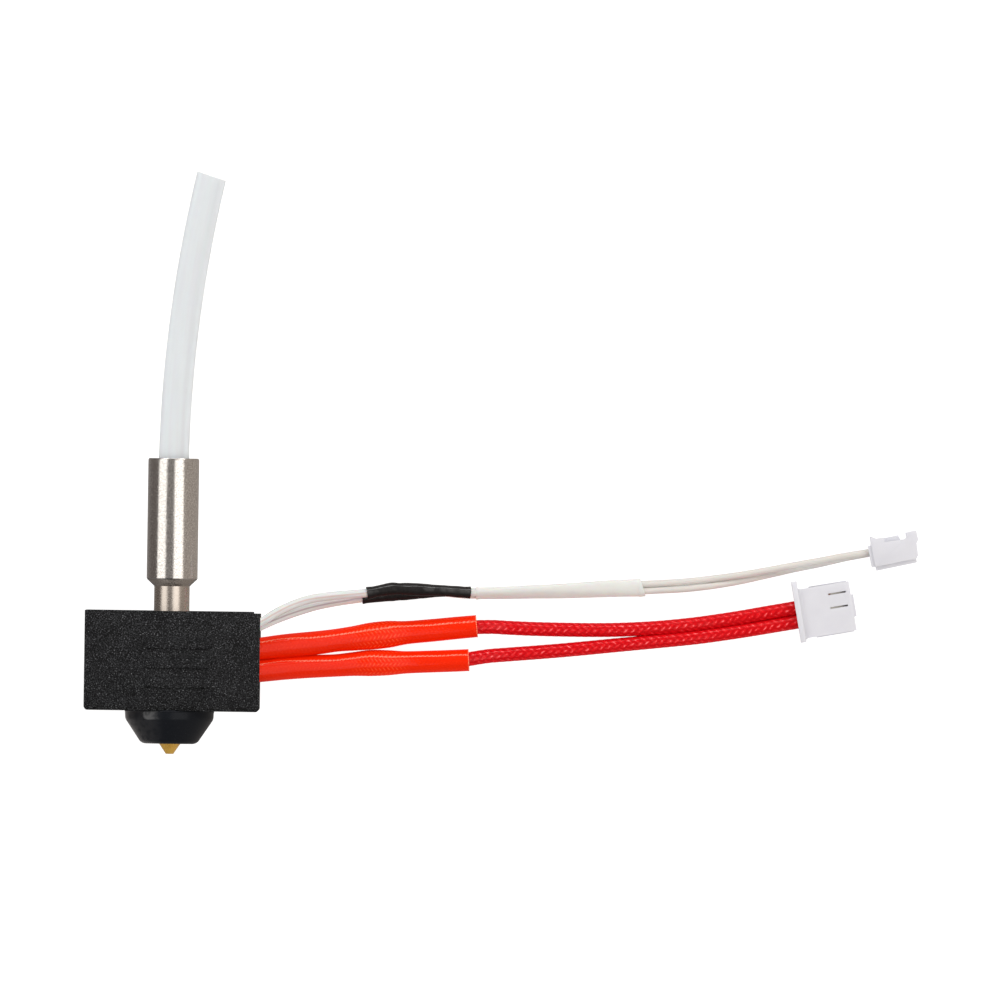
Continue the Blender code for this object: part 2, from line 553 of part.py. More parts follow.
def make_screws(axes):
    """Grub screw on the cartridge, and the screw and washer that clamp the thermistor's leads."""
    zinc = finish("zinc", (0.60, 0.60, 0.62), 0.3, 1.0)
    black = finish("black_oxide", (0.06, 0.06, 0.065), 0.35, 1.0)
    foot = CARTRIDGE_Y + CARTRIDGE_RADIUS + CARTRIDGE_GAP
    cup = SCREW_CUP
    grub = turned("heater_grub_screw", [
        (0, foot), (SCREW_RADIUS - cup, foot), (SCREW_RADIUS, foot + cup),
        (SCREW_RADIUS, foot + GRUB_LENGTH - cup),
        (SCREW_RADIUS - cup, foot + GRUB_LENGTH), (0, foot + GRUB_LENGTH)], black, axes["grub"], 24)
    combine(grub, cylinder("grub_socket", GRUB_SOCKET / cos(pi / 6), foot + GRUB_LENGTH - GRUB_SOCKET_DEPTH,
                           foot + GRUB_LENGTH + OVERCUT, None, axes["grub"], 6))
    seat = BLOCK_SIDE + SEATED_GAP
    turned("thermistor_clamp_washer", [
        (SCREW_RADIUS + SCREW_GAP, seat), (WASHER_RADIUS, seat), (WASHER_RADIUS, seat + WASHER_THICKNESS),
        (SCREW_RADIUS + SCREW_GAP, seat + WASHER_THICKNESS)], zinc, axes["clamp"], 28)
    under = seat + WASHER_THICKNESS + SEATED_GAP
    crown = under + CLAMP_HEAD_HEIGHT
    screw = turned("thermistor_clamp_screw", [
        (0, BLOCK_SIDE - CLAMP_SCREW_LENGTH), (SCREW_RADIUS - cup, BLOCK_SIDE - CLAMP_SCREW_LENGTH),
        (SCREW_RADIUS, BLOCK_SIDE - CLAMP_SCREW_LENGTH + cup), (SCREW_RADIUS, under),
        (CLAMP_HEAD_RADIUS, under), (CLAMP_HEAD_RADIUS, crown - cup), (CLAMP_HEAD_RADIUS - cup, crown),
        (0, crown)], zinc, axes["clamp"], 28)
    reach = CLAMP_SLOT_REACH
    narrow = CLAMP_SLOT / 2
    for name, wide, tall in (("cross_slot_a", reach, narrow), ("cross_slot_b", narrow, reach)):
        combine(screw, box(name, (-wide, -tall, crown - CLAMP_SLOT_DEPTH), (wide, tall, crown + OVERCUT),
                           None, axes["clamp"]))
    bead_end = BLOCK_SIDE - BEAD_HOLE_DEPTH + FACE_GAP
    taper = BEAD_TAPER
    turned("thermistor_bead", [
        (0, bead_end), (BEAD_RADIUS - taper, bead_end + taper * 0.25), (BEAD_RADIUS, bead_end + taper),
        (BEAD_RADIUS, bead_end + BEAD_LENGTH - taper), (BEAD_RADIUS - taper, bead_end + BEAD_LENGTH),
        (0, bead_end + BEAD_LENGTH)], finish("glass", (0.75, 0.62, 0.45), 0.1, 0.0), axes["bead"], 16)
    return bead_end + BEAD_LENGTH


# ---- Leads ----

def place_on(route, x):
    """The point where a route crosses one X."""
    points = smooth_route(route, 0.2 * MM)
    for first, second in zip(points, points[1:]):
        if first[0] <= x <= second[0]:
            share = (x - first[0]) / (second[0] - first[0])
            return Vector(first[:3]).lerp(Vector(second[:3]), share)
    raise ValueError("the route doesn't reach that far")


def between(route, start, end):
    """The part of a route from one X to another."""
    inner = [point for point in route if start + 0.4 * MM < point[0] < end - 0.4 * MM]
    return [tuple(place_on(route, start)), *[point[:3] for point in inner], tuple(place_on(route, end))]


def make_heater_leads(seal_end):
    """Two leads out of the cartridge in orange sleeves, each crimped to a red braided wire inside its
    sleeve."""
    red = finish("red_braid", (0.62, 0.01, 0.02), 0.35, 0.0)
    orange = finish("orange_braid", (0.90, 0.06, 0.005), 0.3, 0.0)
    tin = finish("tinned_copper", (0.65, 0.62, 0.58), 0.35, 1.0)
    lead = finish("glass_braid", (0.80, 0.78, 0.72), 0.6, 0.0)
    sleeves = {
        "upper": in_mm([
            (10.3, 1.62, 6.10, 1.45, 1.45, 0), (12.2, 1.86, 5.95, 1.45, 1.45, 0),
            (14.7, 2.24, 5.35, 1.45, 1.45, 0), (17.1, 2.50, 4.55, 1.45, 1.45, 0),
            (19.5, 2.74, 3.70, 1.47, 1.47, 0), (21.9, 3.02, 2.95, 1.52, 1.50, 0),
            (24.2, 3.32, 2.40, 1.62, 1.60, 0), (26.6, 3.70, 2.08, 1.76, 1.70, 0),
            (29.0, 3.95, 1.86, 1.76, 1.70, 0), (31.4, 4.19, 1.68, 1.56, 1.55, 0),
            (35.0, 4.56, 1.55, 1.52, 1.48, 0), (38.0, 4.90, 1.49, 1.50, 1.45, 0),
            (40.7, 5.18, 1.48, 1.48, 1.45, 0)]),
        "lower": in_mm([
            (10.3, -1.45, 6.10, 1.45, 1.45, 0), (12.2, -1.24, 5.90, 1.45, 1.45, 0),
            (14.7, -0.94, 5.25, 1.45, 1.45, 0), (17.1, -0.72, 4.40, 1.45, 1.45, 0),
            (19.5, -0.54, 3.55, 1.45, 1.45, 0), (21.9, -0.36, 2.85, 1.48, 1.46, 0),
            (24.2, -0.16, 2.32, 1.56, 1.55, 0), (26.6, -0.02, 2.00, 1.68, 1.64, 0),
            (29.0, 0.09, 1.80, 1.66, 1.62, 0), (31.4, 0.21, 1.62, 1.50, 1.50, 0),
            (35.0, 0.38, 1.52, 1.47, 1.46, 0), (37.5, 0.50, 1.48, 1.47, 1.45, 0),
            (39.7, 0.63, 1.47, 1.47, 1.45, 0)]),
    }
    beyond = {
        "upper": in_mm([
            (42.6, 5.10, 1.20), (44.8, 5.02, 0.98), (48.2, 4.92, 0.87), (52.0, 4.88, 0.87),
            (55.5, 4.88, 0.87), (59.0, 4.95, 0.87), (62.5, 5.13, 0.87), (66.0, 5.42, 0.87),
            (69.8, 5.87, 0.87), (73.0, 6.36, 0.92), (76.0, 6.87, 1.18), (79.4, 7.52, 1.80),
            (81.4, 7.89, 2.20), (83.1, 8.21, 2.42), (84.6, 8.48, 2.45)]),
        "lower": in_mm([
            (42.0, 1.16, 1.18), (44.6, 1.42, 0.97), (48.2, 1.74, 0.87), (51.8, 2.08, 0.87),
            (55.4, 2.46, 0.87), (58.4, 2.80, 0.87), (62.2, 3.22, 0.87), (66.0, 3.64, 0.87),
            (69.8, 4.08, 0.87), (73.0, 4.55, 0.92), (76.3, 5.09, 1.18), (79.8, 5.72, 1.80),
            (81.8, 6.09, 2.20), (83.4, 6.38, 2.42), (84.9, 6.66, 2.45)]),
    }
    for side, name in ((1, "upper"), (-1, "lower")):
        sleeve(f"heater_sleeve_{name}", sleeves[name], ORANGE_WALL, orange)
        centre = [station[:3] for station in sleeves[name]]
        splice_end = HEATER_SPLICE_PLACE + HEATER_SPLICE_LENGTH
        first = place_on(centre, HEATER_SPLICE_PLACE)
        last = place_on(centre, splice_end)
        barrel(f"heater_splice_{name}", first, last, HEATER_SPLICE_RADIUS, tin)
        root = (seal_end - HEATER_LEAD_DEPTH, CARTRIDGE_Y + side * HEATER_LEAD_SPREAD, CARTRIDGE_Z)
        straight = (root[0] + HEATER_LEAD_STRAIGHT, *root[1:])
        inner = between(centre, LEAD_SLEEVE_START, HEATER_SPLICE_PLACE - FACE_GAP)
        cord(f"heater_lead_{name}", [root, straight, *inner], HEATER_LEAD_RADIUS, lead)
        outer = between(centre, splice_end + FACE_GAP, RED_WIRE_START)
        cord(f"heater_wire_{name}", outer + beyond[name], RED_WIRE_RADIUS, red)


def make_thermistor_leads(bead_mouth):
    """Two fine leads clamped at the block, each joined to an ivory wire under black heat shrink."""
    clear = finish("clear_sleeving", (0.80, 0.74, 0.74), 0.3, 0.0)
    ivory = finish("ivory_wire", (0.78, 0.75, 0.68), 0.4, 0.0)
    black = finish("heat_shrink", (0.02, 0.02, 0.022), 0.4, 0.0)
    white = finish("white_sleeving", (0.80, 0.78, 0.74), 0.4, 0.0)
    tin = finish("solder", (0.65, 0.64, 0.62), 0.3, 1.0)
    reach = (bead_mouth + FACE_GAP) / MM
    row, height = BEAD_Y / MM, BEAD_Z / MM
    leads = {
        "front": in_mm([
            (reach, row + 0.33, height + 0.40), (10.5, row + 0.45, height + 0.40), (12.2, 5.50, 9.62),
            (13.4, 6.36, 9.05), (14.6, 7.06, 8.35), (15.8, 7.64, 7.55), (17.0, 8.11, 6.70),
            (18.2, 8.48, 5.90), (19.4, 8.74, 5.20), (21.7, 9.02, 4.00), (24.1, 9.22, 3.05),
            (26.2, 9.42, 2.60), (27.6, 9.70, 2.50), (29.2, 9.95, 2.45), (30.8, 9.98, 2.45)]),
        "rear": in_mm([
            (reach, row - 0.33, height - 0.40), (10.5, row - 0.15, height - 0.45), (12.2, 4.93, 8.62),
            (13.4, 5.46, 7.95), (14.6, 5.92, 7.15), (15.8, 6.35, 6.30), (17.0, 6.77, 5.40),
            (18.2, 7.18, 4.50), (19.4, 7.56, 3.70), (21.7, 8.08, 2.35), (24.1, 8.50, 1.30),
            (25.7, 8.74, 0.92), (27.6, 8.95, 0.82), (29.0, 9.09, 0.80), (30.3, 9.20, 0.80)]),
    }
    shrinks = {
        "front": in_mm([
            (26.2, 9.40, 2.60, 0.80, 0.80, 0), (27.6, 9.70, 2.50, 0.80, 0.80, 0),
            (29.2, 9.98, 2.45, 0.84, 0.80, 0), (31.0, 9.99, 2.45, 0.80, 0.80, 0),
            (33.5, 9.93, 2.45, 0.80, 0.80, 0), (36.0, 9.85, 2.40, 0.80, 0.80, 0),
            (38.0, 9.74, 2.08, 0.80, 0.80, 0), (39.7, 9.64, 1.74, 0.80, 0.80, 0)]),
        "rear": in_mm([
            (25.7, 8.74, 0.92, 0.79, 0.79, 0), (27.6, 8.95, 0.82, 0.79, 0.79, 0),
            (29.6, 9.14, 0.80, 0.79, 0.79, 0), (32.0, 9.38, 0.80, 0.79, 0.79, 0),
            (34.4, 9.56, 0.80, 0.79, 0.79, 0), (36.4, 9.58, 0.80, 0.79, 0.79, 0)]),
    }
    wires = {
        "front": in_mm([
            (38.0, 9.74, 2.08), (39.4, 9.66, 1.70), (40.5, 9.78, 1.46), (41.4, 9.83, 1.41),
            (43.9, 9.95, 1.33), (47.9, 10.19, 1.24), (51.7, 10.41, 1.08), (55.9, 10.72, 0.92),
            (59.2, 10.95, 0.78), (62.8, 11.13, 0.68), (65.0, 11.27, 0.55), (68.5, 11.53, 0.48),
            (72.1, 11.98, 0.62), (75.7, 12.50, 1.02), (79.3, 13.17, 1.60), (82.9, 13.90, 2.35),
            (86.5, 14.60, 3.10), (89.5, 15.22, 3.65), (91.7, 15.60, 3.88), (93.9, 15.98, 3.90)]),
        "rear": in_mm([
            (36.4, 9.50, 0.72), (38.0, 9.36, 0.50), (39.4, 9.28, 0.50), (40.5, 9.31, 0.56),
            (41.4, 9.33, 0.57), (43.9, 9.40, 0.61), (47.9, 9.53, 0.62), (51.7, 9.63, 0.60),
            (55.9, 9.85, 0.62), (59.2, 10.03, 0.60), (62.8, 10.17, 0.62), (65.0, 10.28, 0.50),
            (68.5, 10.46, 0.44), (72.1, 11.00, 0.44), (75.7, 11.70, 0.44), (79.3, 12.55, 0.52),
            (82.9, 13.42, 0.80), (86.5, 14.20, 1.25), (89.5, 14.95, 1.70), (91.7, 15.40, 1.88),
            (93.9, 15.88, 1.90)]),
    }
    for name in ("front", "rear"):
        sleeve(f"black_shrink_{name}", shrinks[name], SHRINK_WALL, black, step=1.3 * MM, sides=12)
        cord(f"thermistor_lead_{name}", leads[name], THERMISTOR_LEAD_RADIUS, clear)
        centre = [station[:3] for station in shrinks[name]]
        first = place_on(centre, leads[name][-1][0] + FACE_GAP)
        last = place_on(centre, first.x + THERMISTOR_SPLICE_LENGTH)
        barrel(f"thermistor_splice_{name}", first, last, THERMISTOR_SPLICE_RADIUS, tin, 8)
        start = between(centre, last.x + FACE_GAP, wires[name][0][0] - SHRINK_COVER)
        cord(f"thermistor_wire_{name}", start + wires[name], IVORY_WIRE_RADIUS, ivory)
    sleeve("white_sleeve", in_mm([
        (40.5, 9.56, 1.01, 1.06, 0.68, 60), (43.9, 9.67, 0.97, 1.06, 0.68, 53),
        (47.9, 9.86, 0.93, 1.06, 0.68, 43), (51.7, 10.02, 0.84, 1.08, 0.67, 32),
        (55.9, 10.28, 0.77, 1.12, 0.66, 19), (59.2, 10.49, 0.70, 1.15, 0.65, 11),
        (62.8, 10.65, 0.66, 1.20, 0.63, 4)]), WHITE_WALL, white, step=1.8 * MM)


# ---- Plugs ----

def make_heater_plug():
    """White nylon housing lying flat, with a flange at the wire end and two crimp terminals in their
    cells."""
    nylon = finish("nylon", (0.82, 0.83, 0.85), 0.35, 0.0)
    tin = finish("tinned_brass", (0.70, 0.66, 0.58), 0.3, 1.0)
    marker = empty("heater_plug_place", HEATER_PLUG_PLACE, Matrix.Rotation(HEATER_PLUG_TURN, 4, "Z"))
    flange, body, nose, cell = HEATER_PLUG_FLANGE, HEATER_PLUG_BODY, HEATER_PLUG_NOSE, HEATER_PLUG_CELL
    middle = HEATER_PLUG_OFFSET
    housing = box("heater_plug_housing", (0, -flange.y / 2, 0), (flange.x, flange.y / 2, flange.z), nylon,
                  marker)
    combine(housing, box("plug_body", (flange.x / 2, middle - body.y / 2, 0),
                         (body.x, middle + body.y / 2, body.z), None, marker), "UNION")
    nose_low = (body.z - nose.z) / 2
    combine(housing, box("plug_nose", (body.x / 2, middle - nose.y / 2, nose_low),
                         (nose.x, middle + nose.y / 2, nose_low + nose.z), None, marker), "UNION")
    centre = HEATER_PLUG_CELL_HEIGHT
    start = HEATER_PLUG_CELL_START
    for at, name in ((0.5, "upper"), (-0.5, "lower")):
        row = middle + at * HEATER_PLUG_CELL_PITCH
        combine(housing, box(f"plug_cell_{name}", (start, row - cell.y / 2, centre - cell.z / 2),
                             (nose.x + OVERCUT, row + cell.y / 2, centre + cell.z / 2), None, marker))
        entry = cylinder(f"plug_entry_{name}", RED_WIRE_RADIUS + HEATER_PLUG_ENTRY_GAP, -OVERCUT,
                         start + ENTRY_OVERLAP, None, marker, 16)
        entry.matrix_local = Matrix.Translation((0, row, centre)) @ Matrix.Rotation(pi / 2, 4, "Y")
        combine(housing, entry)
        window = row + cell.y / 2 - HEATER_PLUG_SLOT.y
        combine(housing, box(f"plug_window_{name}", (HEATER_PLUG_SLOT_START, window, centre),
                             (HEATER_PLUG_SLOT_START + HEATER_PLUG_SLOT.x, window + HEATER_PLUG_SLOT.y,
                              body.z + OVERCUT), None, marker))
        low = (start + FACE_GAP, row - cell.y / 2 + TERMINAL_GAP, centre - cell.z / 2 + TERMINAL_GAP)
        high = (nose.x - HEATER_TERMINAL_SHORT, row + cell.y / 2 - TERMINAL_GAP,
                centre + cell.z / 2 - TERMINAL_GAP)
        terminal = box(f"heater_terminal_{name}", low, high, tin, marker)
        mouth = start + HEATER_TERMINAL_SOCKET
        combine(terminal, box(f"terminal_mouth_{name}", (mouth, row - cell.y / 4, centre - cell.z / 4),
                              (nose.x + OVERCUT, row + cell.y / 4, centre + cell.z / 4), None, marker))


def make_sensor_plug():
    """White nylon housing standing on its narrow side, its two cells one above the other."""
    nylon = finish("nylon_small", (0.84, 0.85, 0.86), 0.35, 0.0)
    tin = finish("tinned_bronze", (0.70, 0.66, 0.58), 0.3, 1.0)
    marker = empty("sensor_plug_place", SENSOR_PLUG_PLACE, Matrix.Rotation(SENSOR_PLUG_TURN, 4, "Z"))
    corners = in_mm([
        (0.00, -1.95), (0.50, -1.95), (0.52, -2.50), (6.00, -2.50), (6.05, -1.95), (6.35, -1.60),
        (6.47, 0.05), (6.77, 0.44), (6.77, 1.72), (5.32, 1.72), (5.30, 1.02), (4.95, 0.87), (4.45, 1.00),
        (4.25, 1.58), (2.70, 1.56), (2.45, 1.70), (1.30, 1.72), (0.55, 2.20), (0.50, 1.20), (0.10, 0.90)])
    housing = outline("thermistor_plug_housing", corners, 0, SENSOR_PLUG_WIDTH, nylon, marker)
    cell = SENSOR_PLUG_CELL
    start = SENSOR_PLUG_CELL_START
    for at, name in ((0.5, "front"), (-0.5, "rear")):
        centre = SENSOR_PLUG_WIDTH / 2 + at * SENSOR_PLUG_PITCH
        combine(housing, box(f"sensor_cell_{name}", (start, -cell.y / 2, centre - cell.z / 2),
                             (cell.x + 2 * OVERCUT, cell.y / 2, centre + cell.z / 2), None, marker))
        entry = cylinder(f"sensor_entry_{name}", IVORY_WIRE_RADIUS + SENSOR_PLUG_ENTRY_GAP, -OVERCUT,
                         start + ENTRY_OVERLAP, None, marker, 12)
        entry.matrix_local = Matrix.Translation((0, 0, centre)) @ Matrix.Rotation(pi / 2, 4, "Y")
        combine(housing, entry)
        low = (start + TERMINAL_GAP, -cell.y / 2 + TERMINAL_GAP, centre - cell.z / 2 + TERMINAL_GAP)
        high = (cell.x + SENSOR_TERMINAL_REACH, cell.y / 2 - TERMINAL_GAP,
                centre + cell.z / 2 - TERMINAL_GAP)
        terminal = box(f"thermistor_terminal_{name}", low, high, tin, marker)
        mouth = start + SENSOR_TERMINAL_SOCKET
        combine(terminal, box(f"sensor_mouth_{name}", (mouth, -cell.y / 4, centre - cell.z / 4),
                              (cell.x + 2 * OVERCUT, cell.y / 4, centre + cell.z / 4), None, marker))


def make_hot_end():
    clear_scene()
    axes = make_axes()
    make_block(axes)
    make_nozzle(axes["nozzle"])
    make_heat_break(axes["nozzle"])
    make_liner()
    make_sock(axes["nozzle"])
    seal_end = make_cartridge(axes["cartridge"])
    make_coil()
    bead_mouth = make_screws(axes)
    make_heater_leads(seal_end)
    make_thermistor_leads(bead_mouth)
    make_heater_plug()
    make_sensor_plug()


make_hot_end()
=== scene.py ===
"""Looks of a filament printer's hot end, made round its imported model.

Everything is in metres in the model's own frame: the sock's back lies on Z = 0, +Y runs up the heat break and
+X runs along the leads. The sections follow the order in which the hot end is put together.
"""

from math import cos, dist, floor, pi, radians, sin, sqrt

import bmesh
import bpy
from mathutils import Matrix, Vector, noise


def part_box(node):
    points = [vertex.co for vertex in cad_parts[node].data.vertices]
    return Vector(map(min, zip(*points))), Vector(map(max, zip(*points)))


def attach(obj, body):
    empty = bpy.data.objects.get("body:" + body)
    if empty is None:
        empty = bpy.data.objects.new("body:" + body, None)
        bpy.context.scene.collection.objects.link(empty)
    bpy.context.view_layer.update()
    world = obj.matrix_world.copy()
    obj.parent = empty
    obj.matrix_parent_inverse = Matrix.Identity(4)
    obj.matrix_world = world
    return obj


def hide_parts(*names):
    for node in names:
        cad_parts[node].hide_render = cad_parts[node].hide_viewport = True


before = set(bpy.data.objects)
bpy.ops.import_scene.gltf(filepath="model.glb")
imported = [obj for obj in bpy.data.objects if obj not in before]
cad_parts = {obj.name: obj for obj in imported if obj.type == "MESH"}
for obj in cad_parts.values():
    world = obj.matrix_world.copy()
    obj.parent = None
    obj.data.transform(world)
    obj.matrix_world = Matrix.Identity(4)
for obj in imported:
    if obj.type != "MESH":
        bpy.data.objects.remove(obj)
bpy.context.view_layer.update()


# ---- Heater block ----
# A bar of extruded aluminium, sawn to length and milled on its faces, then drilled for the nozzle, the
# cartridge, the thermistor and two screws. Its edges are only broken, and the cutter's fine lines still show.

MM = 0.001
EVEN = (1.0, 1.0, 1.0)


class Wire:
    """A value that varies over a surface, so that sums on it are written out."""

    def __init__(self, nodes, socket):
        self.nodes = nodes
        self.socket = socket

    def sum(self, operation, *values):
        return self.nodes.node("ShaderNodeMath", {"operation": operation}, dict(enumerate(values)))

    def sine(self):
        return self.sum("SINE", self)

    def __abs__(self):
        return self.sum("ABSOLUTE", self)

    def __floor__(self):
        return self.sum("FLOOR", self)

    def __add__(self, other):
        return self.sum("ADD", self, other)

    def __sub__(self, other):
        return self.sum("SUBTRACT", self, other)

    def __rsub__(self, other):
        return self.sum("SUBTRACT", other, self)

    def __mul__(self, other):
        return self.sum("MULTIPLY", self, other)

    def __pow__(self, other):
        return self.sum("POWER", self, other)

    def __lt__(self, other):
        return self.sum("LESS_THAN", self, other)

    def __mod__(self, other):
        return self.sum("FLOORED_MODULO", self, other)

    __radd__ = __add__
    __rmul__ = __mul__


class Nodes:
    """A tree of shader nodes, which one method adds."""

    def __init__(self, tree):
        self.tree = tree

    def feed(self, socket, value):
        if isinstance(value, Wire):
            self.tree.links.new(value.socket, socket)
        else:
            socket.default_value = value

    def node(self, kind, settings=None, sockets=None, output=0):
        """Adds a node, sets it up, feeds its sockets and gives one of its outputs. A ramp's stops run from
        0 to 1."""
        made = self.tree.nodes.new(kind)
        for name, value in (settings or {}).items():
            if name == "stops":
                for place, colour in value[1:-1]:
                    made.color_ramp.elements.new(place).color = colour
                made.color_ramp.elements[0].color = value[0][1]
                made.color_ramp.elements[-1].color = value[-1][1]
            else:
                setattr(made, name, value)
        for socket, value in (sockets or {}).items():
            self.feed(made.inputs[socket], value)
        return Wire(self, made.outputs[output])


class Finish(Nodes):
    """A material: one Principled shader, with the nodes that vary it over the surface."""

    def __init__(self, name, fixed):
        self.material = bpy.data.materials.new(name)
        self.material.use_nodes = True
        super().__init__(self.material.node_tree)
        self.shader = self.tree.nodes["Principled BSDF"]
        self.wear(fixed)

    def wear(self, values):
        """Sets or feeds sockets of the shader."""
        for socket, value in values.items():
            self.feed(self.shader.inputs[socket], value)

    def place(self, stretch=EVEN, turn=(0.0, 0.0, 0.0)):
        """Where a point of the piece lies, stretched or turned for a pattern."""
        where = self.node("ShaderNodeTexCoord", output="Object")
        return self.node("ShaderNodeMapping", None, {"Vector": where, "Scale": stretch, "Rotation": turn})

    def along(self, axis):
        """How far a point of the piece lies along one axis."""
        return self.node("ShaderNodeSeparateXYZ", None, {0: self.place()}, output=axis)

    def sheet(self, axis):
        """How far round a rolled sheet a point is, as a share, or how far along it, in mm."""
        where = self.node("ShaderNodeUVMap", {"uv_map": "UVMap"})
        return self.node("ShaderNodeSeparateXYZ", None, {0: where}, output=axis)

    def grain(self, size, stretch=EVEN, detail=2.0, rough=0.5, turn=(0.0, 0.0, 0.0)):
        """Noise from 0 to 1 with features of about one size, in metres."""
        return self.node("ShaderNodeTexNoise", None, {
            "Vector": self.place(stretch, turn), "Scale": 1 / size, "Detail": detail, "Roughness": rough})

    def spread(self, value, low, high, start=0.0, end=1.0):
        """Takes a value from one range to another, without passing its ends."""
        return self.node("ShaderNodeMapRange", {"clamp": True}, {
            "Value": value, "From Min": start, "From Max": end, "To Min": low, "To Max": high})

    def rise(self, value, start, end):
        """From 0 to 1 as the value goes from a start to an end."""
        return self.spread(value, 0.0, 1.0, start, end)

    def mix(self, share, first, second):
        """A colour between two colours."""
        return self.node("ShaderNodeMix", {"data_type": "RGBA"}, {
            "Factor": share, 6: first, 7: second}, output=2)

    def relief(self, height, depth, under=None):
        """A bump as deep as the depth, in metres, over another bump."""
        sockets = {"Height": height, "Distance": depth, "Strength": 1.0}
        if under:
            sockets["Normal"] = under
        return self.node("ShaderNodeBump", None, sockets)


def rgb(red, green, blue):
    return (red, green, blue, 1.0)


def patchy(name, fixed, patch, tones, shine=None, depth=0.0, skin=None):
    """A finish that drifts between two tones in patches. Its roughness and relief follow a finer skin, or the
    patches where it has none. The patches and the skin are each given as a grain."""
    finish = Finish(name, fixed)
    patches = finish.grain(*patch)
    fine = finish.grain(*skin) if skin else patches
    finish.wear({"Base Color": finish.mix(patches, *tones)})
    if shine:
        finish.wear({"Roughness": finish.spread(fine, *shine)})
    if depth:
        finish.wear({"Normal": finish.relief(fine, depth)})
    return finish


def milled_aluminium():
    finish = Finish("milled_aluminium", {"Metallic": 1.0})
    lines = finish.grain(0.10 * MM, (1.0, 1.0, 0.06), 3.0, turn=(0.0, 0.0, radians(7)))
    cloud = finish.grain(3.0 * MM, detail=3.0)
    finish.wear({
        "Base Color": finish.mix(cloud, rgb(0.66, 0.67, 0.69), rgb(0.82, 0.83, 0.84)),
        "Roughness": finish.spread(lines + cloud * 0.5, 0.24, 0.46, 0.5, 1.0),
        "Normal": finish.relief(lines, 0.006 * MM)})
    return finish


def shape(name, bm):
    """A mesh as an object, whether to be shown or to build another."""
    mesh = bpy.data.meshes.new(name)
    bm.to_mesh(mesh)
    bm.free()
    made = bpy.data.objects.new(name, mesh)
    bpy.context.scene.collection.objects.link(made)
    return made


def piece(name, bm, finish, body="hot_end", crease=30):
    """A shown piece: smooth except at its creases, and riding on its body."""
    made = shape(name, bm)
    made.data.shade_smooth()
    made.data.set_sharp_from_angle(angle=radians(crease))
    made.data.materials.append(finish.material)
    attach(made, body)
    return made


def broken_edges(node, finish, width):
    """A machined piece in the model's own shape, joined up and with its edges broken."""
    bm = bmesh.new()
    bm.from_mesh(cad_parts[node].data)
    bmesh.ops.remove_doubles(bm, verts=bm.verts, dist=0.001 * MM)
    bmesh.ops.dissolve_limit(bm, angle_limit=radians(1.5), verts=bm.verts, edges=bm.edges)
    made = piece(f"{node}_finished", bm, finish)
    edges = made.modifiers.new("edges", "BEVEL")
    edges.width = width
    edges.segments = 2
    edges.limit_method = "ANGLE"
    edges.angle_limit = radians(40)
    edges.harden_normals = True
    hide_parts(node)
    return made


broken_edges("heater_block", milled_aluminium(), 0.15 * MM)


# ---- Heater cartridge ----
# A drawn steel shell that holds a ceramic core wound with resistance wire. A ceramic seal closes its mouth
# round the two leads. A grub screw from above keeps it in its bore.

def drawn_steel(name, pale, dark, shine):
    """Steel with faint lines along X, tinted by heat."""
    return patchy(name, {"Metallic": 1.0}, (2.5 * MM,), (dark, pale), (shine, shine + 0.22), 0.004 * MM,
                  (0.08 * MM, (0.05, 1.0, 1.0), 3.0))


def dress(node, finish):
    """Gives one of the model's own pieces its finish."""
    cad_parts[node].material_slots[0].material = finish.material


ceramic = patchy("fired_ceramic", {"Subsurface Weight": 0.1, "Subsurface Scale": 0.4 * MM},
                 (0.12 * MM, EVEN, 4.0), (rgb(0.74, 0.71, 0.64), rgb(0.88, 0.86, 0.81)),
                 (0.45, 0.75), 0.012 * MM)
shell_steel = drawn_steel("cartridge_steel", rgb(0.60, 0.59, 0.57), rgb(0.46, 0.43, 0.38), 0.22)
broken_edges("cartridge_shell", shell_steel, 0.08 * MM)
broken_edges("cartridge_seal", ceramic, 0.05 * MM)
dress("cartridge_core", ceramic)
dress("cartridge_coil", drawn_steel("resistance_wire", rgb(0.42, 0.39, 0.36), rgb(0.24, 0.20, 0.18), 0.35))
blued_steel = patchy("blued_steel", {"Metallic": 0.9, "Specular IOR Level": 0.4}, (0.5 * MM, EVEN, 3.0),
                     (rgb(0.022, 0.022, 0.026), rgb(0.065, 0.062, 0.064)), (0.28, 0.5))
broken_edges("heater_grub_screw", blued_steel, 0.06 * MM)


# ---- Nozzle ----
# Free-cutting brass, turned from hexagon bar: a thread, the spanner's flats and a cone down to a flat tip.
# The lathe leaves fine rings on the cone, and the first heat dulls it to a brown gold.

def turned_brass():
    finish = Finish("turned_brass", {"Metallic": 0.7})
    rings = finish.grain(0.09 * MM, (0.04, 1.0, 0.04))
    dull = finish.grain(0.9 * MM, detail=3.0)
    finish.wear({
        "Base Color": finish.mix(dull, rgb(0.78, 0.44, 0.07), rgb(0.95, 0.60, 0.13)),
        "Roughness": finish.spread(dull, 0.20, 0.38),
        "Normal": finish.relief(rings, 0.006 * MM)})
    return finish


broken_edges("nozzle", turned_brass(), 0.07 * MM)


# ---- Heat break ----
# Stainless bar, turned and bored in one setting: a thread for the block, a thin neck that slows the heat and
# a thick shank for the heat sink. The shank is polished, and the taper between them is left from the tool.

STEPS_ROUND = 96


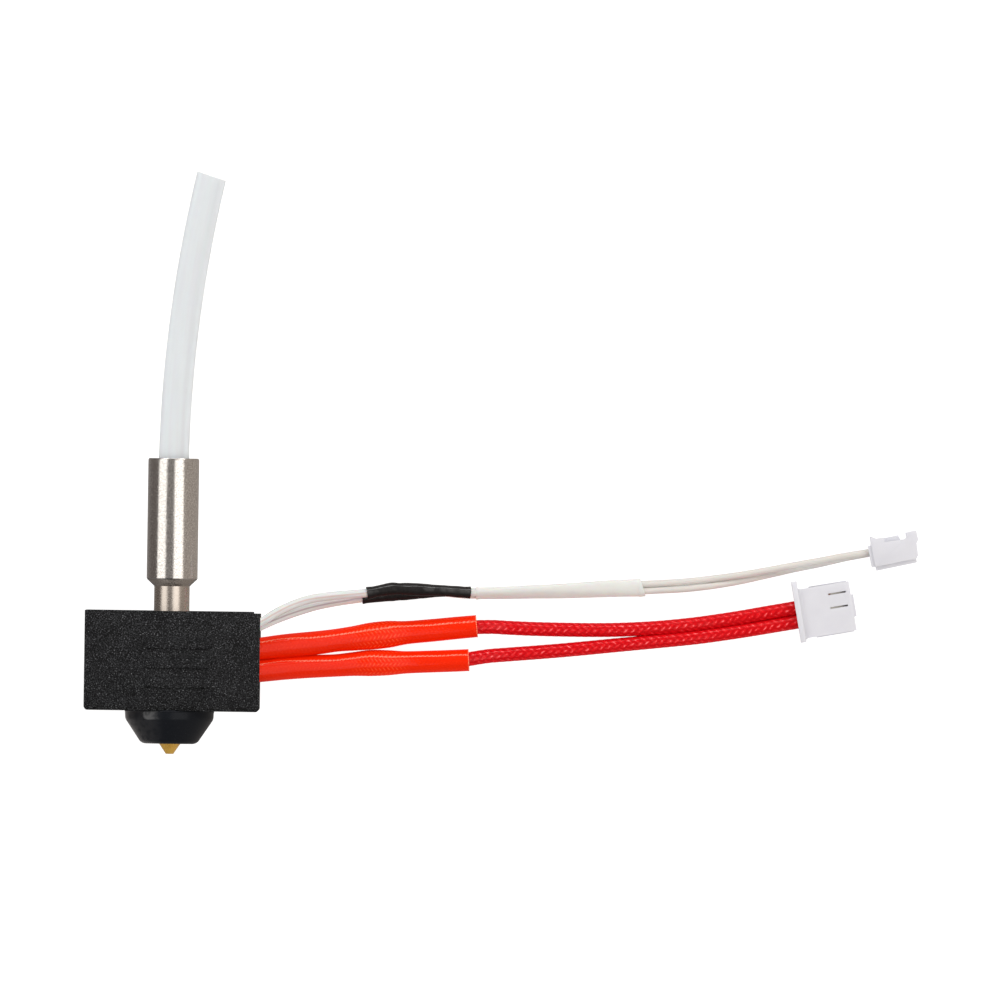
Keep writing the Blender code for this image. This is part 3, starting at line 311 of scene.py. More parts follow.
def lathe(outline, height_at):
    """Spins an outline of (radius, Y) round the nozzle's axis. The outline closes on itself."""
    bm = bmesh.new()
    corners = [bm.verts.new((radius, y, 0.0)) for radius, y in outline]
    edges = [bm.edges.new(pair) for pair in zip(corners, corners[1:] + corners[:1])]
    bmesh.ops.spin(bm, geom=corners + edges, cent=(0, 0, 0), axis=(0, 1, 0), angle=2 * pi, steps=STEPS_ROUND,
                   use_merge=True)
    bmesh.ops.remove_doubles(bm, verts=bm.verts, dist=0.0001 * MM)
    bmesh.ops.recalc_face_normals(bm, faces=bm.faces)
    bmesh.ops.translate(bm, verts=bm.verts, vec=(0, 0, height_at))
    return bm


def polished_stainless():
    finish = Finish("polished_stainless", {"Metallic": 1.0})
    rings = finish.grain(0.07 * MM, (0.05, 1.0, 0.05))
    speckle = finish.grain(0.20 * MM, detail=4.0, rough=0.8)
    turned_only = finish.along("Y") < shank_start
    tone = finish.mix(finish.rise(speckle, 0.36, 0.64), rgb(0.425, 0.405, 0.385), rgb(0.77, 0.745, 0.71))
    finish.wear({
        "Base Color": finish.mix(turned_only * 0.7, tone, rgb(0.47, 0.405, 0.345)),
        "Roughness": finish.spread(speckle, 0.10, 0.22, 0.3, 0.7) + turned_only * 0.12,
        "Normal": finish.relief(speckle, 0.0060 * MM, finish.relief(rings, 0.0012 * MM))})
    return finish


break_low, break_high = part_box("heat_break")
AXIS_Z = (break_low.z + break_high.z) / 2
SHANK_RADIUS = (break_high.x - break_low.x) / 2
SHANK_LENGTH = 16.10 * MM
NECK_RADIUS = 2.365 * MM
NECK_START = 5.90 * MM
TAPER = 0.94 * MM
BORE_RADIUS = 2.08 * MM
BREAK_THREAD = 2.92 * MM
THREAD_DEPTH = 0.45 * MM
THREAD_PITCH = 1.0 * MM
EDGE = 0.10 * MM

shank_start = break_high.y - SHANK_LENGTH
thread = []
for turn in range(4):
    foot = break_low.y + (turn + 0.35) * THREAD_PITCH
    thread += [(BREAK_THREAD, foot), (BREAK_THREAD, foot + 0.25 * THREAD_PITCH),
               (BREAK_THREAD - THREAD_DEPTH, foot + 0.6 * THREAD_PITCH)]
break_outline = [
    (BORE_RADIUS, break_low.y), (BREAK_THREAD - THREAD_DEPTH, break_low.y), *thread,
    (NECK_RADIUS, NECK_START - EDGE), (NECK_RADIUS, shank_start - TAPER),
    (SHANK_RADIUS - EDGE, shank_start - EDGE * 0.6), (SHANK_RADIUS, shank_start + EDGE),
    (SHANK_RADIUS, break_high.y - 2.2 * EDGE), (SHANK_RADIUS - EDGE, break_high.y - 0.3 * EDGE),
    (SHANK_RADIUS - 1.5 * EDGE, break_high.y), (BORE_RADIUS + 2.5 * EDGE, break_high.y),
    (BORE_RADIUS, break_high.y - 2.5 * EDGE)]
heat_break = piece("heat_break_turned", lathe(break_outline, AXIS_Z), polished_stainless())
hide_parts("heat_break")


# ---- PTFE liner ----
# Extruded PTFE tube, milky and waxy, pushed down the heat break to the nozzle and cut off with a blade. It
# keeps a lazy bend from the reel it came on, and its bore shows through the wall as a cooler stripe.

def smooth_route(points, step):
    """Stations, in metres, about one step apart on the smooth curve through a route's own points. The step
    and the points are in mm. A point carries its half width, half height and roll after its place."""
    rows = [points[0], *points, points[-1]]
    fine = []
    for before, start, end, after in zip(rows, rows[1:], rows[2:], rows[3:]):
        for part in range(24):
            t = part / 24
            fine.append([
                0.5 * (2 * b + (c - a) * t + (2 * a - 5 * b + 4 * c - d) * t ** 2
                       + (3 * b - a - 3 * c + d) * t ** 3)
                for a, b, c, d in zip(before, start, end, after)])
    fine.append(list(points[-1]))
    run = [0.0]
    for first, second in zip(fine, fine[1:]):
        run.append(run[-1] + dist(first[:3], second[:3]))
    count = max(2, round(run[-1] / step))
    stations = []
    at = 0
    for station in range(count + 1):
        goal = run[-1] * station / count
        while at < len(fine) - 2 and run[at + 1] < goal:
            at += 1
        share = min(1.0, (goal - run[at]) / (run[at + 1] - run[at]))
        stations.append([(a + (b - a) * share) * MM for a, b in zip(fine[at], fine[at + 1])])
    return stations


def rolled(bm, stations, around, lift=None, last_turn=0.0):
    """Rolls a flat sheet round a line of stations of (x, y, z, half width, half height, roll) and joins its
    edge. Its UV runs once round it and, in mm, along it. Gives the edges of its two ends."""
    rows = len(stations) - 1
    places = []
    length = 0.0
    for row, station in enumerate(stations):
        behind = Vector(stations[max(row - 1, 0)][:3])
        ahead = (Vector(stations[min(row + 1, rows)][:3]) - behind).normalized()
        side = Vector((0, 0, 1)).cross(ahead).normalized()
        turn = Matrix((side, ahead.cross(side), ahead)).transposed().to_4x4()
        spin = Matrix.Rotation(radians(station[5] / MM), 4, "Z")
        tilt = Matrix.Rotation(last_turn if row == rows else 0.0, 4, "Y")
        places.append(Matrix.Translation(station[:3]) @ turn @ tilt @ spin)
        if row:
            length += dist(stations[row][:3], stations[row - 1][:3])
    uv = bm.loops.layers.uv.get("UVMap") or bm.loops.layers.uv.new("UVMap")
    made = bmesh.ops.create_grid(bm, x_segments=around, y_segments=rows, size=0.5, calc_uvs=True)["verts"]
    ring = {}
    for vert in made:
        column = round((vert.co.x + 0.5) * around)
        row = round((vert.co.y + 0.5) * rows)
        ring[row, column] = vert
        share = column / around
        extra = lift(share, length * row / rows) if lift else 0.0
        angle = 2 * pi * share
        wide, tall = (half + extra for half in stations[row][3:5])
        vert.co = places[row] @ Vector((wide * cos(angle), tall * sin(angle), 0.0))
    for face in {face for vert in made for face in vert.link_faces}:
        for loop in face.loops:
            loop[uv].uv.y *= length / MM
    bmesh.ops.weld_verts(bm, targetmap={ring[row, around]: ring[row, 0] for row in range(rows + 1)})
    ends = []
    for row in (0, rows):
        end = {ring[row, column] for column in range(around)}
        ends.append([edge for edge in {edge for vert in end for edge in vert.link_edges}
                     if edge.verts[0] in end and edge.verts[1] in end])
    return ends


def hose(stations, wall, around, lift=None, last_turn=0.0):
    """A tube with an outer and an inner wall, joined at both cut ends."""
    bm = bmesh.new()
    outer = rolled(bm, stations, around, lift, last_turn)
    inner_stations = [[x, y, z, wide - wall, tall - wall, roll] for x, y, z, wide, tall, roll in stations]
    every = max(1, len(stations) // 60)
    middle = inner_stations[every:-every:every]
    inner = rolled(bm, [inner_stations[0], *middle, inner_stations[-1]], around, None, last_turn)
    for outer_end, inner_end in zip(outer, inner):
        bmesh.ops.bridge_loops(bm, edges=outer_end + inner_end)
    bmesh.ops.recalc_face_normals(bm, faces=bm.faces)
    return bm


def milky_ptfe():
    finish = Finish("milky_ptfe", {
        "Roughness": 0.32, "IOR": 1.36, "Transmission Weight": 0.35, "Subsurface Weight": 0.35,
        "Subsurface Radius": (1.0, 1.0, 1.1), "Subsurface Scale": 1.4 * MM})
    sheet = finish.node("ShaderNodeUVMap", {"uv_map": "UVMap"})
    drawn = finish.node("ShaderNodeMapping", None, {"Vector": sheet, "Scale": (14.0, 0.05, 1.0)})
    streak = finish.node("ShaderNodeTexNoise", None, {"Vector": drawn, "Scale": 1.0, "Detail": 3.0})
    scuff = finish.grain(0.5 * MM, (1.0, 0.2, 1.0), 4.0)
    finish.wear({
        "Base Color": finish.mix(finish.rise(streak, 0.35, 0.65), rgb(0.87, 0.90, 0.945),
                                 rgb(0.90, 0.965, 1.0)),
        "Normal": finish.relief(scuff, 0.006 * MM)})
    return finish


LINER_RADIUS_MM = 2.0
LINER_BEND_MM = 182.0
LINER_BURIED_MM = 2.5
LINER_FREE_MM = 38.0
LINER_ARCS = 16
CUT_ANGLE = radians(-5.5)

bend_start = break_high.y / MM - LINER_BURIED_MM
liner_route = [(0.0, break_low.y / MM), (0.0, bend_start / 2), (0.0, bend_start)]
for part in range(1, LINER_ARCS + 1):
    swing = (LINER_FREE_MM + LINER_BURIED_MM) / LINER_BEND_MM * part / LINER_ARCS
    liner_route.append((LINER_BEND_MM * (1 - cos(swing)), bend_start + LINER_BEND_MM * sin(swing)))
liner_rows = [(x, y, AXIS_Z / MM, LINER_RADIUS_MM, LINER_RADIUS_MM, 0.0) for x, y in liner_route]
liner_tube = hose(smooth_route(liner_rows, 0.8), LINER_RADIUS_MM * MM / 2, 48, last_turn=CUT_ANGLE)
liner = piece("ptfe_liner", liner_tube, milky_ptfe(), "liner")
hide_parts("ptfe_tube")


# ---- Thermistor and its clamp ----
# A glass bead in a drilled hole. A pan-head screw and a washer, both zinc plated, pinch its leads against
# the block's side so that they can't pull out.

zinc = patchy("bright_zinc", {"Metallic": 1.0}, (0.6 * MM, EVEN, 3.0),
              (rgb(0.56, 0.57, 0.60), rgb(0.70, 0.70, 0.71)), (0.18, 0.34))
amber_glass = patchy("amber_glass", {"Roughness": 0.06, "Transmission Weight": 0.6, "IOR": 1.5}, (0.8 * MM,),
                     (rgb(0.72, 0.50, 0.28), rgb(0.85, 0.72, 0.52)))
broken_edges("thermistor_clamp_screw", zinc, 0.06 * MM)
broken_edges("thermistor_clamp_washer", zinc, 0.05 * MM)
dress("thermistor_bead", amber_glass)


# ---- Silicone sock ----
# Black silicone, moulded in one piece: a box with spark-eroded faces and a smooth collar that hugs the
# nozzle. It is stretched on over the nozzle, open at the top and at the right for the leads.

GRIP_RISE = 0.25 * MM
GRIP_BARS = 3
GRIP_HALF = Vector((4.5 * MM, 0.70 * MM))
GRIP_PITCH = 2.60 * MM
GRIP_CENTRE = Vector((1.0 * MM, -0.3 * MM))
BAR_CORNER = 0.62 * MM
BAR_EASE = 0.20 * MM
SOCK_GAP = 0.15 * MM
CORNER = 0.45 * MM
LEAD_SILL = 1.0 * MM
COLLAR_RADIUS = 5.90 * MM
COLLAR_SHIFT = -0.10 * MM
NOTCH = Vector((0.95 * MM, 0.22 * MM))
NOZZLE_WAY = 3.6 * MM


def block(low, high, round_edges=None, radius=0.0, segments=4):
    """A block between two corners. round_edges picks the edges to round."""
    bm = bmesh.new()
    low, high = Vector(low), Vector(high)
    size = Matrix.Diagonal((*(high - low), 1.0))
    bmesh.ops.create_cube(bm, size=1.0, matrix=Matrix.Translation((low + high) / 2) @ size)
    if round_edges:
        bmesh.ops.bevel(bm, geom=[edge for edge in bm.edges if round_edges(edge)], offset=radius,
                        segments=segments, profile=0.5, affect="EDGES", material=-1)
    return bm


def carved(base, changes):
    """Joins shapes to a base or cuts them from it, in turn, and gives the result as a bmesh."""
    for tool, operation in changes:
        change = base.modifiers.new(tool.name, "BOOLEAN")
        change.operation = operation
        change.object = tool
    bm = bmesh.new()
    bm.from_object(base, bpy.context.evaluated_depsgraph_get())
    for used in (base, *(tool for tool, operation in changes)):
        bpy.data.objects.remove(used)
    bmesh.ops.remove_doubles(bm, verts=bm.verts, dist=0.0005 * MM)
    bmesh.ops.dissolve_limit(bm, angle_limit=radians(0.5), verts=bm.verts, edges=bm.edges)
    return bm


def ease(bm, radius, angle=radians(38), segments=2):
    """Rounds every edge that is sharper than the angle."""
    sharp = [edge for edge in bm.edges if len(edge.link_faces) == 2 and edge.calc_face_angle(0.0) > angle]
    bmesh.ops.bevel(bm, geom=sharp, offset=radius, segments=segments, profile=0.5, affect="EDGES",
                    material=-1, clamp_overlap=True)


def upright(edge):
    """True for an edge that runs along Z."""
    return abs(edge.verts[0].co.z - edge.verts[1].co.z) > 0.1 * MM


sock_low, sock_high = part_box("silicone_sock")
block_low, block_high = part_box("heater_block")
sock_top, sock_bottom = sock_high.y, -sock_high.y
sock_front = sock_high.z - GRIP_RISE


def sock_body():
    def low_edge(edge):
        return all(vert.co.y < 0 for vert in edge.verts)

    outside = block((sock_low.x, sock_bottom, 0), (sock_high.x, sock_top, sock_front), low_edge, CORNER, 5)
    base = shape("sock_base", outside)
    changes = []
    for bar in range(GRIP_BARS):
        middle = GRIP_CENTRE.y + (bar - (GRIP_BARS - 1) / 2) * GRIP_PITCH
        low = (GRIP_CENTRE.x - GRIP_HALF.x, middle - GRIP_HALF.y, sock_front - 0.5 * MM)
        high = (GRIP_CENTRE.x + GRIP_HALF.x, middle + GRIP_HALF.y, sock_high.z)
        grip_bar = block(low, high, upright, BAR_CORNER, 6)
        ease(grip_bar, BAR_EASE, segments=3)
        changes.append((shape("grip_bar", grip_bar), "UNION"))
    gap = Vector((SOCK_GAP,) * 3)
    space_high = Vector((block_high.x, sock_top + 2 * MM, block_high.z)) + gap
    changes.append((shape("space", block(block_low - gap, space_high, upright, 0.25 * MM)), "DIFFERENCE"))
    mouth_low = (block_high.x - MM, block_low.y + 1.3 * MM, block_low.z + LEAD_SILL)
    mouth_high = (sock_high.x + MM, sock_top + MM, block_high.z - LEAD_SILL)
    changes.append((shape("mouth", block(mouth_low, mouth_high)), "DIFFERENCE"))
    step_low = (sock_high.x - NOTCH.x, sock_top - NOTCH.y, -MM)
    step_high = (sock_high.x + MM, sock_top + MM, 21 * MM)
    changes.append((shape("notch", block(step_low, step_high)), "DIFFERENCE"))
    bore = bmesh.new()
    place = Matrix.Translation((0, sock_bottom, AXIS_Z)) @ Matrix.Rotation(pi / 2, 4, "X")
    bmesh.ops.create_cone(bore, cap_ends=True, segments=48, radius1=NOZZLE_WAY, radius2=NOZZLE_WAY,
                          depth=4 * MM, matrix=place)
    changes.append((shape("nozzle_way", bore), "DIFFERENCE"))
    bm = carved(base, changes)
    ease(bm, 0.10 * MM)
    return bm


def arc(middle, radius, start, end, steps):
    """Points on an arc, from one angle to another in degrees."""
    turns = [radians(start + (end - start) * step / steps) for step in range(steps + 1)]
    return [(middle[0] + radius * cos(turn), middle[1] + radius * sin(turn)) for turn in turns]


def sock_collar():
    """The collar's wall, from its root in the sock's floor round its tip and up along the nozzle."""
    root, tip = sock_bottom, sock_low.y
    shoulder = arc((COLLAR_RADIUS - 1.1 * MM, root - 0.75 * MM), 1.1 * MM, 0, -30, 5)
    lip = arc((3.10 * MM, tip + 1.10 * MM), 1.10 * MM, -32, -86, 7)
    bead = arc((COLLAR_RADIUS - 0.02 * MM, root - 0.10 * MM), 0.10 * MM, 60, -60, 4)
    inside = [(2.05 * MM, tip), (1.78 * MM, tip + 0.12 * MM), (3.55 * MM, root - 2.35 * MM),
              (3.61 * MM, root + MM)]
    bm = lathe([(COLLAR_RADIUS - 0.1 * MM, root + MM), *bead, *shoulder, *lip, *inside], AXIS_Z)
    bmesh.ops.translate(bm, verts=bm.verts, vec=(COLLAR_SHIFT, 0, 0))
    return bm


def spark_eroded_silicone():
    finish = Finish("spark_eroded_silicone", {"IOR": 1.42, "Specular IOR Level": 0.14})
    grit = finish.grain(0.13 * MM, detail=1.5, rough=0.6)
    other = finish.grain(0.16 * MM, detail=1.0, turn=(0.4, 0.7, 0.2))
    wave = finish.grain(2.5 * MM)
    peak = finish.rise(grit + other + wave * 0.15, 0.92, 1.32)
    glint = finish.rise(other, 0.66, 0.74) * finish.rise(grit, 0.45, 0.60)
    # The tone is dark in the relief's pits and light on its peaks: painted shade and painted light of the
    # eroded surface.
    tone = finish.mix(peak ** 2.2, rgb(0.0014, 0.0015, 0.0018), rgb(0.058, 0.061, 0.066))
    finish.wear({
        "Base Color": finish.mix(glint, tone, rgb(0.19, 0.195, 0.205)),
        "Roughness": finish.spread(other, 0.42, 0.62, 0.3, 0.7),
        "Normal": finish.relief(grit + other, 0.05 * MM)})
    return finish


def smooth_silicone():
    finish = Finish("smooth_silicone", {"IOR": 1.43, "Specular IOR Level": 0.12, "Coat Roughness": 0.11})
    haze = finish.grain(0.7 * MM, detail=3.0)
    oily = finish.spread(finish.along("X"), 1.0, 0.04, -2.6 * MM, -0.8 * MM)
    dust = finish.rise(finish.grain(0.10 * MM, detail=1.0), 0.74, 0.80)
    finish.wear({
        "Base Color": finish.mix(dust, rgb(0.0065, 0.0080, 0.0110), rgb(0.06, 0.065, 0.07)),
        "Roughness": finish.spread(haze, 0.30, 0.45),
        "Coat Weight": oily * finish.spread(haze, 0.45, 1.0, 0.38, 0.50),
        "Normal": finish.relief(finish.grain(0.35 * MM), 0.004 * MM)})
    return finish


sock = piece("sock_body", sock_body(), spark_eroded_silicone(), "sock")
collar = piece("sock_collar", sock_collar(), smooth_silicone(), "sock", 40)
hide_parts("silicone_sock")


# ---- Heater leads and their orange sleeves ----
# Two glass-braided leads leave the cartridge, each in a sleeve of orange braided glass fibre soaked in
# silicone varnish. The sleeve swells where a crimp joins the lead to its red wire, and is cut off square.

def weave(turn, run, strands, pitch):
    """Height, from 0 to 1, of a braid in which each strand passes over two and under two."""
    first = strands * turn + run / pitch
    second = strands * turn - run / pitch
    cell = (floor(first) + floor(second)) % 4
    if cell < 2:
        across, along = first % 1, (cell + second % 1) / 2
    else:
        across, along = second % 1, (cell - 2 + first % 1) / 2
    return sqrt(max(0.0, 1 - (2 * across - 1) ** 2)) * (0.55 + 0.45 * sin(pi * along))


def woven(finish, strands, pitch, slack):
    """The same braid on a finish, its strands shifted by some slack: how far across a strand, the hump across
    it, and the crown along it where it lies on top."""
    turn = finish.sheet("X") * strands
    run = finish.sheet("Y") * (MM / pitch)
    shift = finish.grain(1.1 * MM) * slack
    first = turn + run + shift
    second = turn - run + shift
    cell = (floor(first) + floor(second)) % 4.0
    over = cell < 2.0
    under = 1.0 - over
    across = over * (first % 1.0) + under * (second % 1.0)
    along = over * (cell + second % 1.0) * 0.5 + under * (cell - 2.0 + first % 1.0) * 0.5
    hump = 1.0 - (across * 2.0 - 1.0) ** 2.0
    return across, hump, (along * pi).sine()


def varnished_braid():
    finish = Finish("varnished_glass_braid", {
        "IOR": 1.45, "Specular IOR Level": 0.03, "Coat Roughness": 0.04})
    across, hump, crown = woven(finish, SLEEVE_STRANDS, SLEEVE_PITCH, 0.8)
    threads = (across * (pi * 5)).sine()
    grit = finish.grain(0.16 * MM, detail=3.0, rough=0.65)
    blotch = finish.grain(2.6 * MM, detail=3.0)
    wander = finish.grain(9.0 * MM, (1.0, 0.6, 0.3), 1.5)
    ahead = finish.along("X")
    opened = finish.rise(ahead, *SWELL_START) * finish.spread(ahead, 1.0, 0.0, *SWELL_END)
    raised = hump * (crown * 0.6 + 0.4)
    bold = raised * (opened * 0.8 + 0.2) * 0.6
    # Pale spots painted on the crowns of the strands, stronger where the sleeve swells: painted glints.
    painted_glint = finish.rise(hump, 0.84, 1.0) * finish.rise(crown, 0.4, 0.95)
    painted_glint = painted_glint * (finish.spread(grit, 0.0, 0.10, 0.45, 0.70) + opened * 0.38)
    # A wavy pale line painted about a quarter of the way down from the sleeve's top, named crease here: a
    # painted highlight of the narrow strip light.
    off = abs(finish.sheet("X") + wander * 0.10 + crown * 0.016 - (HIGHLIGHT_TURN + 0.060))
    crease = finish.spread(off, 0.62, 0.0, 0.003, 0.010) * finish.spread(grit, 0.5, 1.0, 0.35, 0.6)
    # The tone follows the braid's height, darker in the gaps between the strands: painted shade, with random
    # grit in it.
    tone = finish.mix(finish.rise(bold + grit, 0.2, 0.9), rgb(0.80, 0.012, 0.0003), rgb(1.0, 0.029, 0.0008))
    plain = finish.mix(blotch * 0.4, tone, rgb(1.0, 0.019, 0.0004))
    finish.wear({
        "Base Color": finish.mix(crease, finish.mix(painted_glint, plain, rgb(1.0, 0.17, 0.07)), rgb(1.0, 0.42, 0.27)),
        "Roughness": finish.spread(grit, 0.22, 0.40),
        "Coat Weight": finish.spread(grit + hump * 0.3, 0.10, 0.32, 0.4, 0.9),
        "Normal": finish.relief(bold + threads * 0.05 + grit * 0.5, 0.009 * MM)})
    return finish


def cut_fibre():
    finish = Finish("cut_glass_fibre", {"Specular IOR Level": 0.2})
    tuft = finish.grain(0.14 * MM)
    finish.wear({
        "Base Color": finish.mix(finish.rise(tuft, 0.35, 0.6), rgb(0.90, 0.025, 0.002), rgb(1.0, 0.30, 0.16)),
        "Roughness": finish.spread(tuft, 0.4, 0.6),
        "Normal": finish.relief(tuft, 0.02 * MM)})
    return finish


SLEEVE_STRANDS = 16
SLEEVE_PITCH = 0.56 * MM
SLEEVE_WALL = 0.33 * MM
SLEEVE_RELIEF = 0.045 * MM
SLEEVE_BODY_MM = 1.45
SLEEVE_STEP_MM = 0.11
# How far round the sleeve the painted highlight line lies, as a share of a turn.
HIGHLIGHT_TURN = 0.165
SWELL_START = (23.5 * MM, 27.0 * MM)
SWELL_END = (29.5 * MM, 32.0 * MM)
FRAY_RISE_MM = 0.02

sleeve_points = {
    "upper": [
        (10.3, 1.57, 6.10, 1.48, 1.48), (12.2, 1.81, 5.95, 1.50, 1.48), (14.7, 2.12, 5.35, 1.58, 1.48),
        (17.1, 2.39, 4.55, 1.60, 1.48), (19.5, 2.66, 3.70, 1.58, 1.48), (21.9, 3.01, 2.95, 1.54, 1.50),
        (24.2, 3.30, 2.40, 1.65, 1.60), (26.6, 3.64, 2.08, 1.82, 1.72), (29.0, 3.93, 1.86, 1.80, 1.72),
        (31.4, 4.19, 1.68, 1.56, 1.55), (35.0, 4.56, 1.55, 1.52, 1.48), (38.0, 4.90, 1.49, 1.50, 1.45),
        (40.7, 5.18, 1.48, 1.48, 1.45)],
    "lower": [
        (10.3, -1.39, 6.10, 1.47, 1.47), (12.2, -1.18, 5.90, 1.49, 1.47), (14.7, -0.87, 5.25, 1.52, 1.47),
        (17.1, -0.64, 4.40, 1.53, 1.46), (19.5, -0.47, 3.55, 1.53, 1.46), (21.9, -0.34, 2.85, 1.51, 1.47),
        (24.2, -0.13, 2.32, 1.60, 1.55), (26.6, 0.05, 2.00, 1.76, 1.66), (29.0, 0.12, 1.80, 1.69, 1.63),
        (31.4, 0.21, 1.62, 1.50, 1.50), (35.0, 0.38, 1.52, 1.47, 1.46), (37.5, 0.50, 1.48, 1.47, 1.45),
        (39.7, 0.63, 1.47, 1.47, 1.45)]}

braid_finish = varnished_braid()
fray_finish = cut_fibre()
lead_finish = patchy("bare_glass_braid", {"Roughness": 0.6}, (0.10 * MM, (0.3, 1.0, 1.0), 3.0),
                     (rgb(0.60, 0.57, 0.49), rgb(0.86, 0.84, 0.78)), depth=0.03 * MM)
crimp_finish = drawn_steel("tinned_crimp", rgb(0.72, 0.69, 0.64), rgb(0.58, 0.54, 0.49), 0.2)
for name, points in sleeve_points.items():
    stations = smooth_route([(*point, 0.0) for point in points], SLEEVE_STEP_MM)
    swell = [max(0.0, station[3] / MM - SLEEVE_BODY_MM) * 4 for station in stations]

    def braid_lift(turn, run, rows=len(stations) - 1, swell=swell):
        depth = SLEEVE_RELIEF * (0.05 + min(0.9, swell[min(rows, round(run / (SLEEVE_STEP_MM * MM)))]))
        return (weave(turn, run, SLEEVE_STRANDS, SLEEVE_PITCH) - 1) * depth

    piece(f"orange_sleeve_{name}", hose(stations, SLEEVE_WALL, 128, braid_lift), braid_finish)
    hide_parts(f"heater_sleeve_{name}")
    fray_points = [
        (x, y, z, wide + FRAY_RISE_MM, tall + FRAY_RISE_MM, 0.0) for x, y, z, wide, tall in points[-2:]]
    fray_stations = smooth_route(fray_points, 0.12)[-2:]
    fray = piece(f"sleeve_fray_{name}", hose(fray_stations, SLEEVE_WALL, 96), fray_finish)
    dress(f"heater_lead_{name}", lead_finish)
    dress(f"heater_splice_{name}", crimp_finish)


# ---- Red heater wires ----
# Stranded copper in silicone, covered with a lacquered braid of red glass fibre. They run side by side from
# the crimps to the plug.

RED_STRANDS = 8
RED_PITCH = 1.00 * MM
RED_RADIUS_MM = 0.94
RED_RELIEF = 0.042 * MM
TABLE_GAP_MM = 0.02
TOP_TURN = 0.25

red_points = {
    "upper": [
        (30.9, 4.14, 1.71), (31.4, 4.19, 1.68), (35.0, 4.56, 1.55), (38.0, 4.90, 1.49), (38.6, 4.97, 1.48),
        (42.6, 5.10, 1.20), (44.8, 5.02, 0.98), (48.2, 4.92, 0.87), (52.0, 4.88, 0.87), (55.5, 4.88, 0.87),
        (59.0, 4.95, 0.87), (62.5, 5.13, 0.87), (66.0, 5.42, 0.87), (69.8, 5.87, 0.87), (73.0, 6.36, 0.92),
        (76.0, 6.87, 1.18), (79.4, 7.52, 1.80), (81.4, 7.89, 2.20), (83.1, 8.21, 2.42), (84.6, 8.48, 2.45)],
    "lower": [
        (30.9, 0.18, 1.65), (31.4, 0.21, 1.62), (35.0, 0.38, 1.52), (37.5, 0.50, 1.48), (38.6, 0.57, 1.475),
        (42.0, 1.16, 1.18), (44.6, 1.42, 0.97), (48.2, 1.74, 0.87), (51.8, 2.08, 0.87), (55.4, 2.46, 0.87),
        (58.4, 2.80, 0.87), (62.2, 3.22, 0.87), (66.0, 3.64, 0.87), (69.8, 4.08, 0.87), (73.0, 4.55, 0.92),
        (76.3, 5.09, 1.18), (79.8, 5.72, 1.80), (81.8, 6.09, 2.20), (83.4, 6.38, 2.42), (84.9, 6.66, 2.45)]}


def lacquered_braid():
    finish = Finish("lacquered_red_braid", {"IOR": 1.47, "Specular IOR Level": 0.05, "Coat Roughness": 0.10})
    across, hump, crown = woven(finish, RED_STRANDS, RED_PITCH, 1.1)
    threads = (across * (pi * 8)).sine()
    grit = finish.grain(0.10 * MM, detail=3.0)
    batch = finish.grain(0.5 * MM)
    raised = hump * (crown * 0.7 + 0.3)
    # Pale spots painted on the strands' crowns, strongest along the top of the wire: painted glints.
    painted_glint = finish.rise(hump, 0.86, 1.0) * finish.rise(crown, 0.5, 0.95)
    painted_glint = painted_glint * finish.spread(abs(finish.sheet("X") - TOP_TURN), 1.0, 0.25, 0.07, 0.14)
    painted_glint = painted_glint * finish.rise(batch + grit * 0.6, 0.76, 1.00)
    # The tone follows the braid's height, darker in the gaps between the strands: painted shade, with random
    # grit in it.
    tone = finish.mix(finish.rise(raised + grit * 0.5, 0.15, 1.1), rgb(0.44, 0.0008, 0.0034),
                      rgb(0.78, 0.0045, 0.009))
    plain = finish.mix(batch * 0.4, tone, rgb(0.72, 0.0040, 0.009))
    finish.wear({
        "Base Color": finish.mix(painted_glint, plain, rgb(1.0, 0.20, 0.21)),
        "Roughness": finish.spread(grit + threads * 0.15, 0.22, 0.42),
        "Coat Weight": finish.spread(raised, 0.10, 0.40),
        "Normal": finish.relief(raised * 0.5 + threads * 0.08 + grit * 0.2, 0.020 * MM)})
    return finish


def strand(name, stations, around, finish, lift=None):
    """A solid round cord along its stations, closed at both ends."""
    bm = bmesh.new()
    for end in rolled(bm, stations, around, lift):
        bmesh.ops.edgeloop_fill(bm, edges=end)
    bmesh.ops.recalc_face_normals(bm, faces=bm.faces)
    return piece(name, bm, finish)


def free_route(stations, every):
    """The route of a free cord: some of its stations, with the last."""
    return [station[:3] for station in stations[::every]] + [stations[-1][:3]]


def strand_lift(turn, run):
    return (weave(turn, run, RED_STRANDS, RED_PITCH) - 0.75) * RED_RELIEF


red_finish = lacquered_braid()
for name, points in red_points.items():
    stations = smooth_route([
        (x, y, max(z, RED_RADIUS_MM + TABLE_GAP_MM), RED_RADIUS_MM, RED_RADIUS_MM, 0.0)
        for x, y, z in points], 0.10)
    strand(f"red_wire_{name}", stations, 56, red_finish, strand_lift)
    free_route(stations, 6)
    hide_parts(f"heater_wire_{name}")


# ---- Heater plug ----
# A two-way housing moulded in natural nylon, with a flange where the wires go in. Two tinned crimp terminals
# are pushed in until their lances snap into the windows in its upper face.

PLUG_TURN = radians(10.3)
PLUG_PLACE = Matrix.Translation((83.27 * MM, 7.63 * MM, 0.0)) @ Matrix.Rotation(PLUG_TURN, 4, "Z")
PLUG_MIDDLE = -0.33
PLUG_CELL = 2.45
CELL_PITCH = 1.85
WINDOW_RISE = 0.97
LANCE_TIP = 87.65 * MM


def mm_block(low, high, round_edges=None, radius=0.0, segments=3):
    """A block between two corners given in mm."""
    low, high = ([value * MM for value in corner] for corner in (low, high))
    return block(low, high, round_edges, radius * MM, segments)


